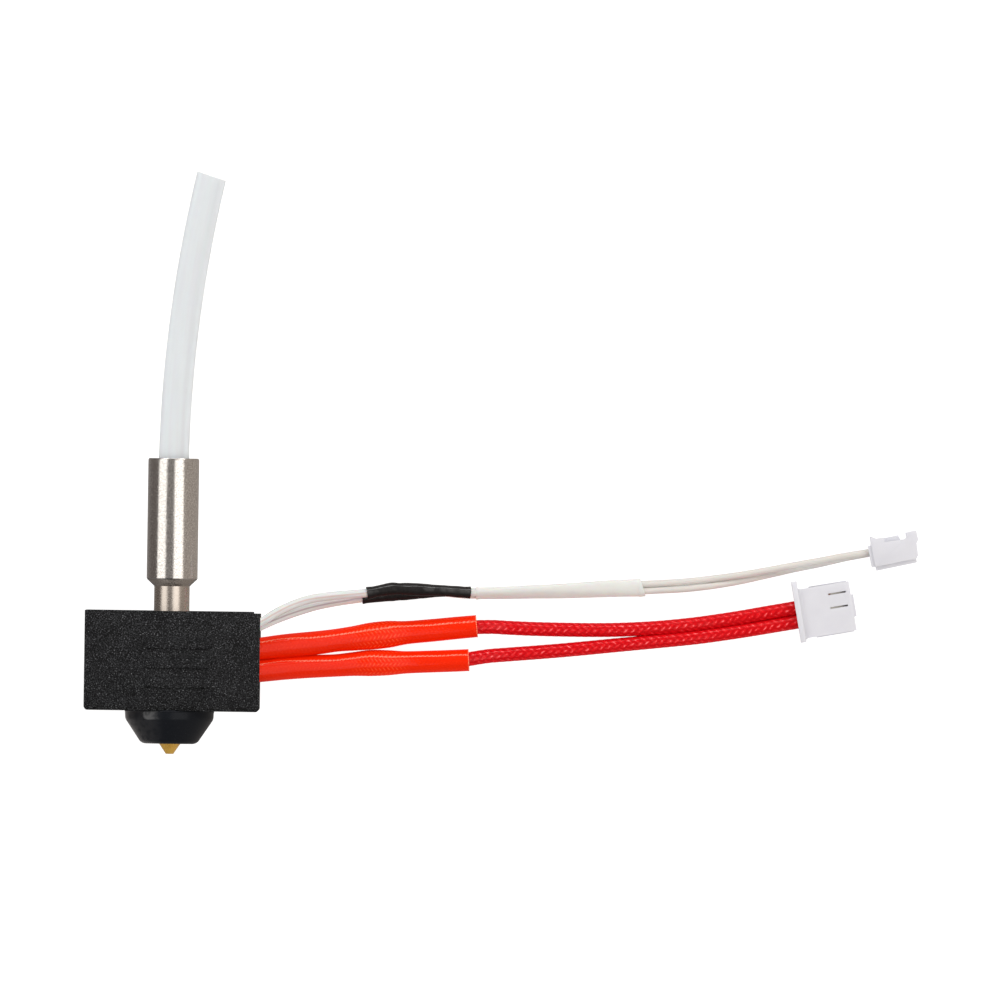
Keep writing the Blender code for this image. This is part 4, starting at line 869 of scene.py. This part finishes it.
def prism(corners, low, high):
    """An outline in mm, raised from one height to another."""
    bm = bmesh.new()
    face = bm.faces.new([bm.verts.new((x * MM, y * MM, low * MM)) for x, y in corners])
    raised = bmesh.ops.extrude_face_region(bm, geom=[face])["geom"]
    bmesh.ops.translate(bm, verts=[part for part in raised if isinstance(part, bmesh.types.BMVert)],
                        vec=(0, 0, (high - low) * MM))
    bmesh.ops.recalc_face_normals(bm, faces=bm.faces)
    return bm


def round_hole(start, end, y, z, radius):
    """A cutter along X, in mm."""
    bm = bmesh.new()
    place = Matrix.Translation(((start + end) / 2 * MM, y * MM, z * MM)) @ Matrix.Rotation(pi / 2, 4, "Y")
    bmesh.ops.create_cone(bm, cap_ends=True, segments=32, radius1=radius * MM, radius2=radius * MM,
                          depth=(end - start) * MM, matrix=place)
    return bm


def fillet(low, high, middle, side):
    """The concave root between the flange and one face of the body, in mm."""
    reach = 0.62
    rise = high - low
    curve = [(0.6 + reach * (1 - cos(radians(turn))), low + rise * (1 - sin(radians(turn))))
             for turn in (0, 18, 36, 54, 72, 90)]
    outline = [(0.6, low - 0.4), *curve, (0.6 + reach, low - 0.4)]
    if side == "TOP":
        bm = prism(outline, middle - 3.28, middle + 3.28)
        bm.transform(Matrix(((1, 0, 0, 0), (0, 0, 1, 0), (0, 1, 0, 0), (0, 0, 0, 1))))
    else:
        sign = 1 if side == "HIGH" else -1
        bm = prism([(x, middle + sign * y) for x, y in outline], 0.02, 4.98)
    bmesh.ops.recalc_face_normals(bm, faces=bm.faces)
    return bm


def heater_housing():
    middle = PLUG_MIDDLE
    base = shape("flange", mm_block((0, -4.1, 0), (0.73, 4.1, 5.6), lambda edge: not upright(edge), 0.10, 2))
    changes = [
        (shape("body", mm_block((0.3, middle - 3.3, 0), (7.6, middle + 3.3, 5.0))), "UNION"),
        (shape("nose", mm_block((3.8, middle - 1.5, 0.7), (7.9, middle + 1.5, 4.3))), "UNION"),
        (shape("top_fillet", fillet(5.0, 5.6, middle, "TOP")), "UNION"),
        (shape("low_fillet", fillet(3.3, 3.75, middle, "LOW")), "UNION"),
        (shape("high_fillet", fillet(3.3, 3.75, middle, "HIGH")), "UNION"),
        (shape("rib_low", mm_block((2.2, middle - 3.45, 0), (7.3, middle - 3.2, 0.9))), "UNION"),
        (shape("rib_high", mm_block((2.2, middle + 3.2, 0), (7.3, middle + 3.45, 0.9))), "UNION")]
    for side in (0.5, -0.5):
        row = middle + side * CELL_PITCH
        window = row + WINDOW_RISE
        changes += [
            (shape("cell", mm_block((1.93, row - 0.8, PLUG_CELL - 1.2), (9, row + 0.8, PLUG_CELL + 1.2))),
             "DIFFERENCE"),
            (shape("entry", round_hole(-1, 2.2, row, PLUG_CELL, 0.97)), "DIFFERENCE"),
            (shape("window", mm_block((4.62, window, 3.3), (7.0, window + 0.22, 6))), "DIFFERENCE"),
            (shape("relief_cut", mm_block((2.4, row - 0.35, -1), (4.4, row + 0.35, 0.35))), "DIFFERENCE")]
    bm = carved(base, changes)
    ease(bm, 0.09 * MM, segments=3)
    bm.transform(PLUG_PLACE)
    return bm


def bare_bronze():
    finish = Finish("bare_bronze", {"Metallic": 0.6})
    stain = finish.grain(0.2 * MM)
    tip = finish.spread(finish.along("X"), 1.0, 0.0, LANCE_TIP, LANCE_TIP + 0.3 * MM)
    pale = finish.mix(stain, rgb(0.44, 0.42, 0.37), rgb(0.70, 0.67, 0.61))
    finish.wear({
        "Base Color": finish.mix(tip, pale, rgb(0.22, 0.07, 0.025)),
        "Roughness": finish.spread(stain, 0.3, 0.5)})
    return finish


nylon_depth = {
    "IOR": 1.5, "Subsurface Weight": 0.25, "Subsurface Radius": (1.0, 1.0, 1.1), "Subsurface Scale": 0.8 * MM}
nylon = patchy("natural_nylon", nylon_depth, (2.2 * MM, EVEN, 3.0),
               (rgb(0.655, 0.66, 0.715), rgb(0.71, 0.72, 0.765)), (0.30, 0.46), 0.006 * MM,
               (0.25 * MM, EVEN, 3.0))
tin = patchy("tinned_bronze", {"Metallic": 1.0}, (0.4 * MM, EVEN, 3.0),
             (rgb(0.46, 0.40, 0.31), rgb(0.68, 0.63, 0.54)), (0.24, 0.42))
bronze = bare_bronze()
heater_plug = piece("heater_plug_moulding", heater_housing(), nylon)
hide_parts("heater_plug_housing")
for name, side in (("upper", 0.5), ("lower", -0.5)):
    broken_edges(f"heater_terminal_{name}", tin, 0.08 * MM)
    window = PLUG_MIDDLE + side * CELL_PITCH + WINDOW_RISE
    tongue = mm_block((4.66, window + 0.02, 3.32), (6.94, window + 0.20, 3.8))
    for vert in tongue.verts:
        if vert.co.x < 5 * MM:
            vert.co.z += 0.9 * MM
    tongue.transform(PLUG_PLACE)
    piece(f"terminal_lance_{name}", tongue, bronze)


# ---- Thermistor leads ----
# Two fine nickel leads in clear PTFE sleeving, through which their pinkish cores show. Each is soldered to an
# ivory wire, and the joint is covered with black heat shrink.

CORE_RADIUS_MM = 0.10
CORE_RISE_MM = 0.27
CLEAR_RADIUS_MM = 0.56

lead_points = {
    "front": [
        (8.4, 4.63, 9.90), (10.5, 4.75, 9.90), (12.2, 5.48, 9.62), (13.4, 6.28, 9.05), (14.6, 6.97, 8.35),
        (15.8, 7.55, 7.55), (17.0, 8.03, 6.70), (18.2, 8.41, 5.90), (19.4, 8.67, 5.20), (21.7, 8.98, 4.00),
        (24.1, 9.21, 3.05), (26.2, 9.42, 2.60), (27.6, 9.70, 2.50), (29.2, 9.95, 2.45), (30.8, 9.98, 2.45)],
    "rear": [
        (8.4, 3.97, 9.10), (10.5, 4.15, 9.05), (12.2, 4.93, 8.62), (13.4, 5.49, 7.95), (14.6, 5.99, 7.15),
        (15.8, 6.45, 6.30), (17.0, 6.87, 5.40), (18.2, 7.26, 4.50), (19.4, 7.61, 3.70), (21.7, 8.10, 2.35),
        (24.1, 8.50, 1.30), (25.7, 8.74, 0.92), (27.6, 8.95, 0.82), (29.0, 9.09, 0.80), (30.3, 9.20, 0.80)]}


def clear_ptfe(name, core_shade):
    """Clear sleeving, tinted where the core shows through its upper side."""
    finish = Finish(name, {
        "Roughness": 0.18, "IOR": 1.30, "Transmission Weight": 0.28, "Subsurface Weight": 0.25,
        "Subsurface Scale": 0.4 * MM})
    haze = finish.grain(1.2 * MM, (0.3, 1.0, 1.0), 3.0)
    wander = finish.grain(5.0 * MM, (1.0, 0.2, 0.2), 1.0)
    off = abs(finish.sheet("X") + wander * 0.12 - (TOP_TURN + 0.06))
    clear = finish.mix(haze, rgb(0.92, 0.91, 0.90), rgb(0.98, 0.98, 0.98))
    finish.wear({
        "Base Color": finish.mix(finish.spread(off, 0.60, 0.0, 0.016, 0.042), clear, core_shade),
        "Normal": finish.relief(haze, 0.01 * MM)})
    return finish


# The rear lead's core tint is darker than the front's, though both cores are alike: painted shade between the
# two leads.
clear_finish = {"front": clear_ptfe("clear_sleeving_front", rgb(0.80, 0.50, 0.46)),
                "rear": clear_ptfe("clear_sleeving_rear", rgb(0.46, 0.28, 0.34))}
core_finish = patchy("enamelled_core", {"Roughness": 0.35}, (2.0 * MM, (0.4, 1.0, 1.0)),
                     (rgb(0.30, 0.10, 0.14), rgb(0.72, 0.34, 0.30)))
for name, points in lead_points.items():
    body = smooth_route([(*point, CLEAR_RADIUS_MM, CLEAR_RADIUS_MM, 0.0) for point in points], 0.35)
    piece(f"clear_lead_{name}", hose(body, 0.12 * MM, 24), clear_finish[name])
    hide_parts(f"thermistor_lead_{name}")
    core = smooth_route([
        (x, y, z + CORE_RISE_MM, CORE_RADIUS_MM, CORE_RADIUS_MM, 0.0) for x, y, z in points], 0.35)
    strand(f"lead_core_{name}", core, 10, core_finish)


# ---- Heat shrink over the joints ----
# Black polyolefin tube, shrunk on with hot air. It follows the bump of the solder joint under it and has
# cooled with faint ripples and square-cut, slightly flared ends.

shrink_points = {
    "front": [
        (25.95, 9.36, 2.62, 0.86, 0.84), (26.6, 9.47, 2.57, 0.79, 0.78), (27.6, 9.70, 2.50, 0.77, 0.77),
        (29.2, 9.98, 2.45, 0.86, 0.82), (30.3, 9.99, 2.45, 0.80, 0.80), (31.4, 9.99, 2.45, 0.84, 0.82),
        (33.5, 9.93, 2.45, 0.83, 0.82), (34.9, 9.89, 2.43, 0.75, 0.75), (36.0, 9.85, 2.40, 0.74, 0.74),
        (38.0, 9.74, 2.08, 0.76, 0.76), (39.2, 9.67, 1.84, 0.77, 0.77), (39.7, 9.64, 1.74, 0.83, 0.82)],
    "rear": [
        (25.3, 8.68, 0.96, 0.80, 0.80), (26.1, 8.79, 0.90, 0.75, 0.75), (27.6, 8.95, 0.82, 0.75, 0.75),
        (29.6, 9.14, 0.80, 0.76, 0.76), (31.0, 9.28, 0.80, 0.78, 0.78), (33.4, 9.50, 0.80, 0.74, 0.74),
        (35.4, 9.57, 0.80, 0.58, 0.58), (36.4, 9.58, 0.80, 0.55, 0.55)]}


def shrunk_polyolefin():
    finish = Finish("shrunk_polyolefin", {"IOR": 1.5, "Specular IOR Level": 0.10, "Coat Roughness": 0.08})
    ripple = finish.grain(0.8 * MM, (1.0, 0.5, 0.5), 3.0)
    smear = finish.grain(0.3 * MM, detail=4.0)
    lit = finish.spread(finish.sheet("X"), 1.0, 0.0, 0.18, 0.30)
    finish.wear({
        "Base Color": finish.mix(smear, rgb(0.006, 0.0055, 0.0055), rgb(0.022, 0.020, 0.020)),
        "Roughness": finish.spread(smear, 0.26, 0.46),
        "Coat Weight": finish.spread(ripple, 0.3, 1.0, 0.35, 0.60) * lit,
        "Normal": finish.relief(smear, 0.004 * MM, finish.relief(ripple, 0.06 * MM))})
    return finish


shrink_finish = shrunk_polyolefin()
solder = drawn_steel("solder", rgb(0.70, 0.69, 0.67), rgb(0.55, 0.53, 0.50), 0.2)
for name, points in shrink_points.items():
    stations = smooth_route([(*point, 0.0) for point in points], 0.16)

    def ripple_lift(turn, run, seed=len(points)):
        spot = Vector((cos(2 * pi * turn), sin(2 * pi * turn), run / (0.9 * MM) + seed))
        return 0.028 * MM * noise.noise(spot)

    piece(f"heat_shrink_{name}", hose(stations, 0.18 * MM, 40, ripple_lift), shrink_finish)
    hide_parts(f"black_shrink_{name}")
    dress(f"thermistor_splice_{name}", solder)


# ---- Ivory wires and their white sleeve ----
# Two insulated wires in ivory plastic, side by side. A white sleeve is shrunk over both where they leave the
# joints, with a thicker collar at each cut end, and they run on as far as the plug.

IVORY_RADIUS_MM = 0.46
WHITE_CUT = radians(15)

ivory_points = {
    "front": [
        (34.4, 9.90, 2.44), (36.8, 9.81, 2.29), (38.0, 9.74, 2.08), (39.4, 9.66, 1.70), (40.5, 9.78, 1.46),
        (41.4, 9.83, 1.41), (43.9, 9.95, 1.33), (47.9, 10.19, 1.24), (51.7, 10.41, 1.08), (55.9, 10.72, 0.92),
        (59.2, 10.95, 0.78), (62.8, 11.11, 0.68), (65.0, 11.25, 0.55), (68.5, 11.51, 0.48),
        (72.1, 11.97, 0.62), (75.7, 12.50, 1.02), (79.3, 13.17, 1.60), (82.9, 13.90, 2.35),
        (86.5, 14.60, 3.10), (89.5, 15.22, 3.65), (91.7, 15.60, 3.88), (93.9, 15.98, 3.90)],
    "rear": [
        (33.9, 9.53, 0.80), (35.2, 9.56, 0.80), (36.4, 9.50, 0.72), (38.0, 9.36, 0.50), (39.4, 9.28, 0.50),
        (40.5, 9.31, 0.56), (41.4, 9.33, 0.57), (43.9, 9.40, 0.61), (47.9, 9.53, 0.62), (51.7, 9.63, 0.60),
        (55.9, 9.85, 0.62), (59.2, 10.03, 0.60), (62.8, 10.20, 0.62), (65.0, 10.33, 0.50),
        (68.5, 10.57, 0.44), (72.1, 11.04, 0.44), (75.7, 11.70, 0.44), (79.3, 12.55, 0.52),
        (82.9, 13.42, 0.80), (86.5, 14.20, 1.25), (89.5, 14.95, 1.70), (91.7, 15.40, 1.88),
        (93.9, 15.88, 1.90)]}

white_points = [
    (40.5, 9.56, 1.01, 1.12, 0.74, 60), (40.9, 9.57, 1.01, 1.12, 0.74, 60),
    (41.1, 9.58, 1.00, 1.05, 0.67, 59), (43.9, 9.67, 0.97, 1.05, 0.67, 53),
    (47.9, 9.86, 0.93, 1.06, 0.67, 43), (51.7, 10.02, 0.84, 1.08, 0.66, 32),
    (55.9, 10.28, 0.77, 1.12, 0.65, 19), (59.2, 10.49, 0.70, 1.15, 0.64, 11),
    (62.1, 10.61, 0.67, 1.18, 0.62, 5), (62.3, 10.62, 0.67, 1.22, 0.65, 5),
    (62.8, 10.65, 0.66, 1.22, 0.65, 4)]


ivory_finish = patchy("ivory_insulation", {
    "IOR": 1.5, "Subsurface Weight": 0.15, "Subsurface Scale": 0.3 * MM}, (1.8 * MM, (0.3, 1.0, 1.0), 3.0),
    (rgb(0.62, 0.60, 0.565), rgb(0.72, 0.70, 0.67)), (0.26, 0.42), 0.005 * MM, (0.15 * MM, (0.3, 1.0, 1.0)))
white_finish = patchy("white_sleeving", {
    "IOR": 1.45, "Transmission Weight": 0.12, "Subsurface Weight": 0.2, "Subsurface Scale": 0.4 * MM},
    (0.9 * MM, (0.4, 1.0, 1.0), 4.0), (rgb(0.79, 0.775, 0.745), rgb(0.90, 0.885, 0.86)), (0.24, 0.44),
    0.035 * MM)
for name, points in ivory_points.items():
    stations = smooth_route([
        (x, y, max(z, IVORY_RADIUS_MM + TABLE_GAP_MM), IVORY_RADIUS_MM, IVORY_RADIUS_MM, 0.0)
        for x, y, z in points], 0.35)
    strand(f"ivory_wire_{name}", stations, 24, ivory_finish)
    free_route(stations, 2)
    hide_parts(f"thermistor_wire_{name}")

white_hose = hose(smooth_route(white_points, 0.25), 0.12 * MM, 48, last_turn=WHITE_CUT)
white_sleeve = piece("white_sleeve_shrunk", white_hose, white_finish)
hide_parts("white_sleeve")
stub_points = [
    (39.45, 9.66, 1.72, 0.56, 0.54, 0), (39.9, 9.66, 1.62, 0.58, 0.56, 0), (40.4, 9.74, 1.50, 0.56, 0.54, 0)]
stub = piece("clear_stub", hose(smooth_route(stub_points, 0.15), 0.11 * MM, 24), white_finish)


# ---- Thermistor plug ----
# A smaller two-way housing in the same nylon, lying on its narrow side so that its cells are one above the
# other. A springy latch arm and a hooked nose show along its upper edge, a keying rib along its lower one.

SENSOR_TURN = radians(12.4)
SENSOR_PLACE = Matrix.Translation((92.90 * MM, 15.70 * MM, 0.0)) @ Matrix.Rotation(SENSOR_TURN, 4, "Z")
SENSOR_WIDTH = 5.8
SENSOR_PITCH = 2.0


def sensor_housing():
    body = [
        (0.45, -1.98), (6.02, -1.98), (6.35, -1.60), (6.47, 0.05), (6.77, 0.44), (6.77, 1.72), (5.32, 1.72),
        (5.30, 1.02), (4.95, 0.87), (2.30, 1.02), (2.30, 1.66), (1.30, 1.72), (0.55, 2.20), (0.50, 1.20),
        (0.45, 1.18)]
    arm = [(2.10, 0.60), (4.30, 0.60), (4.45, 1.00), (4.25, 1.58), (2.70, 1.56), (2.20, 1.64)]
    base = shape("sensor_body", prism(body, 0, SENSOR_WIDTH))
    changes = [
        (shape("latch_arm", prism(arm, 0.6, SENSOR_WIDTH - 1.5)), "UNION"),
        (shape("back_lip", mm_block((0.0, -1.95, 0.3), (0.8, 0.95, SENSOR_WIDTH - 0.35))), "UNION"),
        (shape("key_rib", mm_block((0.52, -2.50, 0.0), (6.0, -1.80, SENSOR_WIDTH - 0.4))), "UNION")]
    for side in (0.5, -0.5):
        centre = SENSOR_WIDTH / 2 + side * SENSOR_PITCH
        changes += [
            (shape("cell", mm_block((1.6, -0.85, centre - 0.75), (8, 0.85, centre + 0.75))), "DIFFERENCE"),
            (shape("entry", round_hole(-1, 1.8, 0, centre, 0.56)), "DIFFERENCE")]
    bm = carved(base, changes)
    ease(bm, 0.07 * MM, segments=3)
    bm.transform(SENSOR_PLACE)
    return bm


sensor_plug = piece("thermistor_plug_moulding", sensor_housing(), nylon)
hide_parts("thermistor_plug_housing")
for name, other in (("front", [sensor_plug, white_sleeve, stub]), ("rear", [])):
    terminal = broken_edges(f"thermistor_terminal_{name}", tin, 0.06 * MM)


# ---- Table, lights and camera ----
# The hot end lies on a white table, under two tall soft boxes and a narrow strip beyond its top edge. The
# camera looks straight down from far away with a long lens.

VIEW_CENTRE = Vector((43.53 * MM, 22.07 * MM, 10.0 * MM))
VIEW_WIDTH = 133.33 * MM
VIEW_ROLL = radians(0.84)
CAMERA_HEIGHT = 5.0
SENSOR = 36.0
TABLE_HALF = 8.0
TABLE_TOP = -0.05 * MM
SKY_STOPS = [(0.0, rgb(0.17, 0.15, 0.14)), (0.30, rgb(0.31, 0.29, 0.28)), (0.50, rgb(0.27, 0.255, 0.245)),
             (0.75, rgb(0.43, 0.385, 0.35)), (1.0, rgb(0.47, 0.42, 0.38))]


def soft_box(name, towards, distance, width, length, power, colour):
    """A soft box that hangs in one direction from the hot end and faces it."""
    lamp = bpy.data.lights.new(name, "AREA")
    lamp.shape = "RECTANGLE"
    lamp.size = width
    lamp.size_y = length
    lamp.energy = power
    lamp.color = colour
    box = bpy.data.objects.new(name, lamp)
    back = Vector(towards).normalized()
    across = Vector((0, 1, 0)).cross(back)
    if across.length < 0.5:
        across = Vector((1, 0, 0))
    across.normalize()
    turn = Matrix((across, back.cross(across), back)).transposed().to_4x4()
    box.matrix_world = Matrix.Translation(VIEW_CENTRE + back * distance) @ turn
    box.visible_camera = False
    bpy.context.scene.collection.objects.link(box)


white_table = patchy("white_table", {
    "Roughness": 0.9, "Emission Color": rgb(1.0, 1.0, 1.0), "Emission Strength": 0.92}, (0.4,),
    (rgb(0.28, 0.28, 0.28), rgb(0.31, 0.31, 0.31)))
top = bmesh.new()
bmesh.ops.create_grid(top, size=TABLE_HALF, matrix=Matrix.Translation((0, 0, TABLE_TOP)))
table = shape("table", top)
table.data.materials.append(white_table.material)
table.visible_glossy = False

soft_box("left_box", (-sin(radians(52)), 0, cos(radians(52))), 1.2, 0.84, 2.0, 8.2, (1.0, 0.985, 0.96))
soft_box("right_box", (sin(radians(26)), 0, cos(radians(26))), 1.2, 0.95, 2.0, 9.2, (1.0, 0.985, 0.965))
soft_box("top_strip", (0, sin(radians(60)), cos(radians(60))), 1.2, 2.0, 0.15, 6.6, (1.0, 1.0, 1.0))

world = bpy.data.worlds.new("studio")
world.use_nodes = True
bpy.context.scene.world = world
sky = Nodes(world.node_tree)
direction = sky.node("ShaderNodeTexCoord", output="Generated")
sideways = sky.node("ShaderNodeSeparateXYZ", None, {0: direction}, output="X")
place = sky.node("ShaderNodeMapRange", None, {"Value": sideways, "From Min": -1.0})
shade = sky.node("ShaderNodeValToRGB", {"stops": SKY_STOPS}, {0: place})
sky.feed(sky.tree.nodes["Background"].inputs["Color"], shade)

camera = bpy.data.cameras.new("camera")
camera.sensor_width = SENSOR
camera.lens = SENSOR * CAMERA_HEIGHT / VIEW_WIDTH
camera.clip_start = 1.0
camera.clip_end = 20.0
eye = bpy.data.objects.new("camera", camera)
eye.location = VIEW_CENTRE + Vector((0, 0, CAMERA_HEIGHT))
eye.rotation_euler = (0, 0, VIEW_ROLL)
bpy.context.scene.collection.objects.link(eye)
bpy.context.scene.camera = eye
bpy.context.scene.view_settings.view_transform = "Standard"
